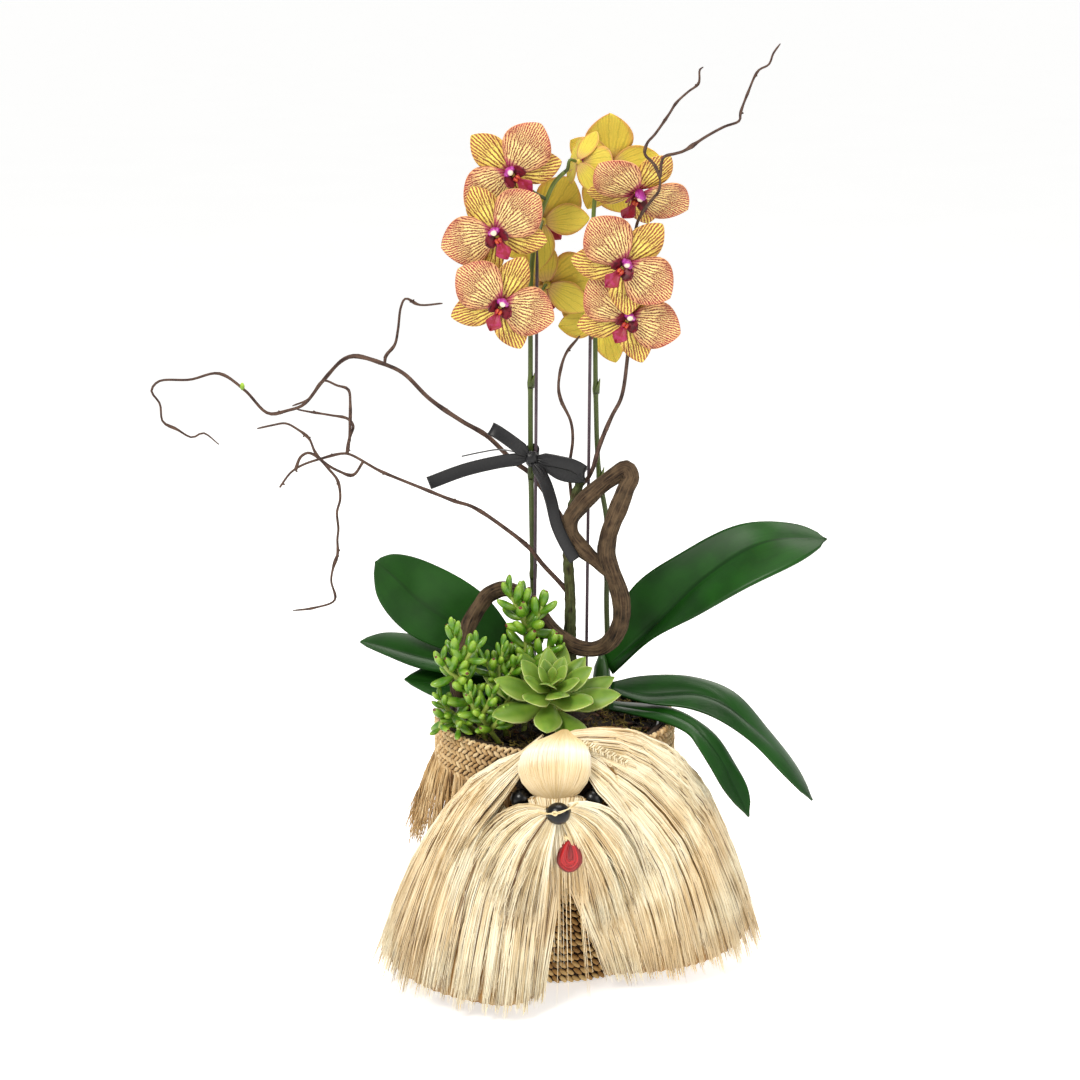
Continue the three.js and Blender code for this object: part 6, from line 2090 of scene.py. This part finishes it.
@dataclass
class Ribbon:
    """The black satin ribbon: a wrap, a knot, two loops and three tails."""

    width: float = 12.0
    thickness: float = 0.35
    gather: float = 0.3
    turn_radius: float = 8.2
    steps: int = 50
    strips: tuple = (
        ((0.47, 0.1, 0.88), True, (
            (-23, 2, 469), (-34, 2, 478), (-46, 1, 487), (-54, -1, 492.5), (-57.5, -4, 495), (-54, -7, 494),
            (-46, -8, 489), (-34, -6, 479.5), (-24, 0, 469))),
        ((-0.25, 0, -0.97), False, (
            (-24, 0, 466.5), (-38, -2, 466), (-50, -3, 464.5), (-81, -5, 457.5), (-113.5, -6, 445.5))),
        ((0, -0.99, 0.13), False, (
            (-25, 3, 468), (-38.5, 5, 472), (-51, 6, 473.3), (-67, 6, 470.8), (-84, 5, 467.3))),
        ((-0.1, 0.1, -0.98), True, (
            (-18, 1, 467), (-8, -4, 466.5), (3, -9, 465.5), (16, -13, 463), (24, -13, 458.5),
            (26.5, -10.5, 454.5), (23, -7, 452), (16, -5.5, 451.5), (5, -4, 453.5), (-6, -2, 460),
            (-18, 1, 465))),
        ((-0.8, -0.5, -0.25), False, (
            (-20, -1, 463), (-11, -10, 452), (-4, -22, 435), (2, -31, 412), (9.5, -34, 396),
            (18, -36, 382))),
    )

    def strip(self, shape: Modeller, wide: tuple, loop: bool, route: tuple) -> float:
        """Lays one strip on edge along its route.

        Args:
            shape: where it is built.
            wide: the way its width points.
            loop: whether both its ends are gathered in the knot.
            route: places along its middle.

        Returns:
            The strip's length in millimetres.
        """
        path = spaced(route, self.steps)
        tangents = unit(np.gradient(path, axis=0))
        across_way = unit(np.array(wide) - tangents * (tangents @ np.array(wide))[:, None])
        lift = np.cross(tangents, across_way)

        def surface(along: Array, across: Array) -> Array:
            """Places on the strip."""
            row = np.rint(along * (self.steps - 1)).astype(int)
            v = 2 * across - 1
            ends = np.minimum(along, 1 - along) if loop else along
            drawn_in = np.interp(ends, [0, 0.1], [self.gather, 1.0])
            puckers = 0.9 * np.cos(3 * pi * v) * np.interp(ends, [0, 0.16], [1, 0])
            return (
                path[row]
                + across_way[row] * (v * self.width / 2 * drawn_in)[:, None]
                + lift[row] * (0.5 * v * v + puckers)[:, None]
            )

        shape.sheet(10, self.steps - 1, surface)
        return float(np.linalg.norm(np.diff(path, axis=0), axis=1).sum())

    def build(self) -> None:
        shape = Modeller()
        total = sum(self.strip(shape, *strip) for strip in self.strips)

        def wrap(along: Array, across: Array) -> Array:
            """Places on the turn round the stalk and the stake."""
            angle = 2 * pi * along
            height = 467 + (across - 0.5) * self.width + 3.0 * np.sin(angle)
            return xyz(-20.2 + 6.0 * np.cos(angle), 13 + 10.0 * np.sin(angle), height)

        shape.sheet(8, 40, wrap)
        total += 2 * pi * self.turn_radius
        piece = shape.piece("ribbon_bow", Slot.RIBBON, [RIBBON_SATIN], ["ribbon"])
        thicken(piece, self.thickness)
        knot = Modeller()
        centre = np.array([-21.0, 1.0, 467.0])

        def form(p: Array) -> Array:
            """Places on the knot, with folds round its waist."""
            angle = np.arctan2(p[:, 2], p[:, 0])
            folds = 1 + 0.07 * np.sin(7 * angle + 5 * p[:, 1])
            return p * folds[:, None] * np.array([6.0, 4.5, 6.5]) + centre

        knot.ball(28, 20, form)
        knot.piece("ribbon_knot", Slot.RIBBON, [RIBBON_SATIN])


@dataclass
class Studio:
    """The pale floor, the soft lights and the camera."""

    lens: float = 75.8
    camera_at: tuple = (-0.0135, -2.0, 0.89)
    camera_tilt: float = 76.0
    floor_reach: float = 1e5
    lamp_colour: tuple = (1.0, 0.965, 0.91)
    aim: tuple = (0.0, 0.0, 0.35)

    def light(self, name: str, place: tuple, size: float, power: float) -> None:
        """Hangs one soft light that points at the object."""
        lamp = bpy.data.lights.new(name, "AREA")
        lamp.shape = "SQUARE"
        lamp.size = size
        lamp.energy = power
        lamp.color = self.lamp_colour
        holder = bpy.data.objects.new(name, lamp)
        holder.location = place
        holder.rotation_euler = (Vector(self.aim) - Vector(place)).to_track_quat("-Z", "Y").to_euler()
        bpy.context.scene.collection.objects.link(holder)

    def build(self) -> None:
        """Sets up floor, lights, world and camera."""
        scene = bpy.context.scene
        scene.view_settings.view_transform = "Standard"
        shape = Modeller()
        reach = self.floor_reach
        shape.sheet(2, 2, lambda u, v: xyz(lerp(-reach, reach, v), lerp(-reach, reach, u), -0.4))
        mesh = shape.shaped("floor")
        floor = bpy.data.objects.new("floor", mesh)
        surface = STUDIO_FLOOR.material()
        shader = surface.node_tree.nodes[SHADER]
        shader.inputs["Emission Color"].default_value = WHITE
        shader.inputs["Emission Strength"].default_value = 0.55
        mesh.materials.append(surface)
        scene.collection.objects.link(floor)
        self.light("key", (-1.0, -1.5, 1.9), 0.7, 38)
        self.light("fill", (1.5, -1.4, 1.0), 1.2, 12)
        self.light("top", (0.2, 0.2, 2.1), 1.0, 20)
        self.light("back", (0.6, 1.9, 1.3), 1.4, 14)
        scene.world = bpy.data.worlds.new("studio")
        scene.world.use_nodes = True
        sky = scene.world.node_tree.nodes["Background"]
        sky.inputs["Color"].default_value = WHITE
        sky.inputs["Strength"].default_value = 0.5
        lens = bpy.data.cameras.new("camera")
        lens.lens = self.lens
        lens.sensor_width = 36.0
        camera = bpy.data.objects.new("camera", lens)
        camera.location = self.camera_at
        camera.rotation_euler = (radians(self.camera_tilt), 0, 0)
        scene.collection.objects.link(camera)
        scene.camera = camera


def dress_packed_nodes() -> None:
    """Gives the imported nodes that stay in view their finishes."""
    for name, finish in (("basket", TWINE_DARK), ("liner", LINER_FILM), ("head_core", TWINE_DARK)):
        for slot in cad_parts[name].material_slots:
            slot.material = finish.material()


def main() -> None:
    """Builds the object's pieces in order."""
    logging.basicConfig(level=logging.INFO, format="%(message)s")
    Studio().build()
    dress_packed_nodes()
    Basket().build()
    Ground().build()
    falls = [
        HairFall("hair_right", RIGHT_LOCKS, 0, 0.5, 26, 46, 51, "hair_right"),
        HairFall("moustache_right", RIGHT_LOCKS, 0.512, 1, 26, 46, 52, "moustache_right"),
        HairFall("hair_left", LEFT_LOCKS, 0, 0.4, 24, 46, 53, "hair_left"),
        HairFall("moustache_left", LEFT_LOCKS, 0.41, 1, 32, 46, 54, "moustache_left"),
        HairFall("cheek_left", CHEEK_LEFT_LOCKS, 0, 1, 14, 35, 55),
        HairFall("cheek_right", CHEEK_RIGHT_LOCKS, 0, 1, 14, 35, 56),
        HairFall("brow_left", BROW_LEFT_LOCKS, 0, 1, 9, 35, 57),
        HairFall("brow_right", BROW_RIGHT_LOCKS, 0, 1, 9, 35, 58),
    ]
    for fall in falls:
        fall.build()
    Forelock().build()
    Face().build()
    for side in Side:
        OrchidLeaves(side).build()
    for bloom in BLOOMS:
        bloom.build()
    Spike(Side.LEFT, 2.8, 1.9).build()
    Spike(Side.RIGHT, 2.6, 1.9).build()
    for stem in STONECROPS:
        stem.build()
    Echeveria().build()
    Vine().build()
    Willow().build()
    Ribbon().build()


if __name__ == "__main__":
    main()
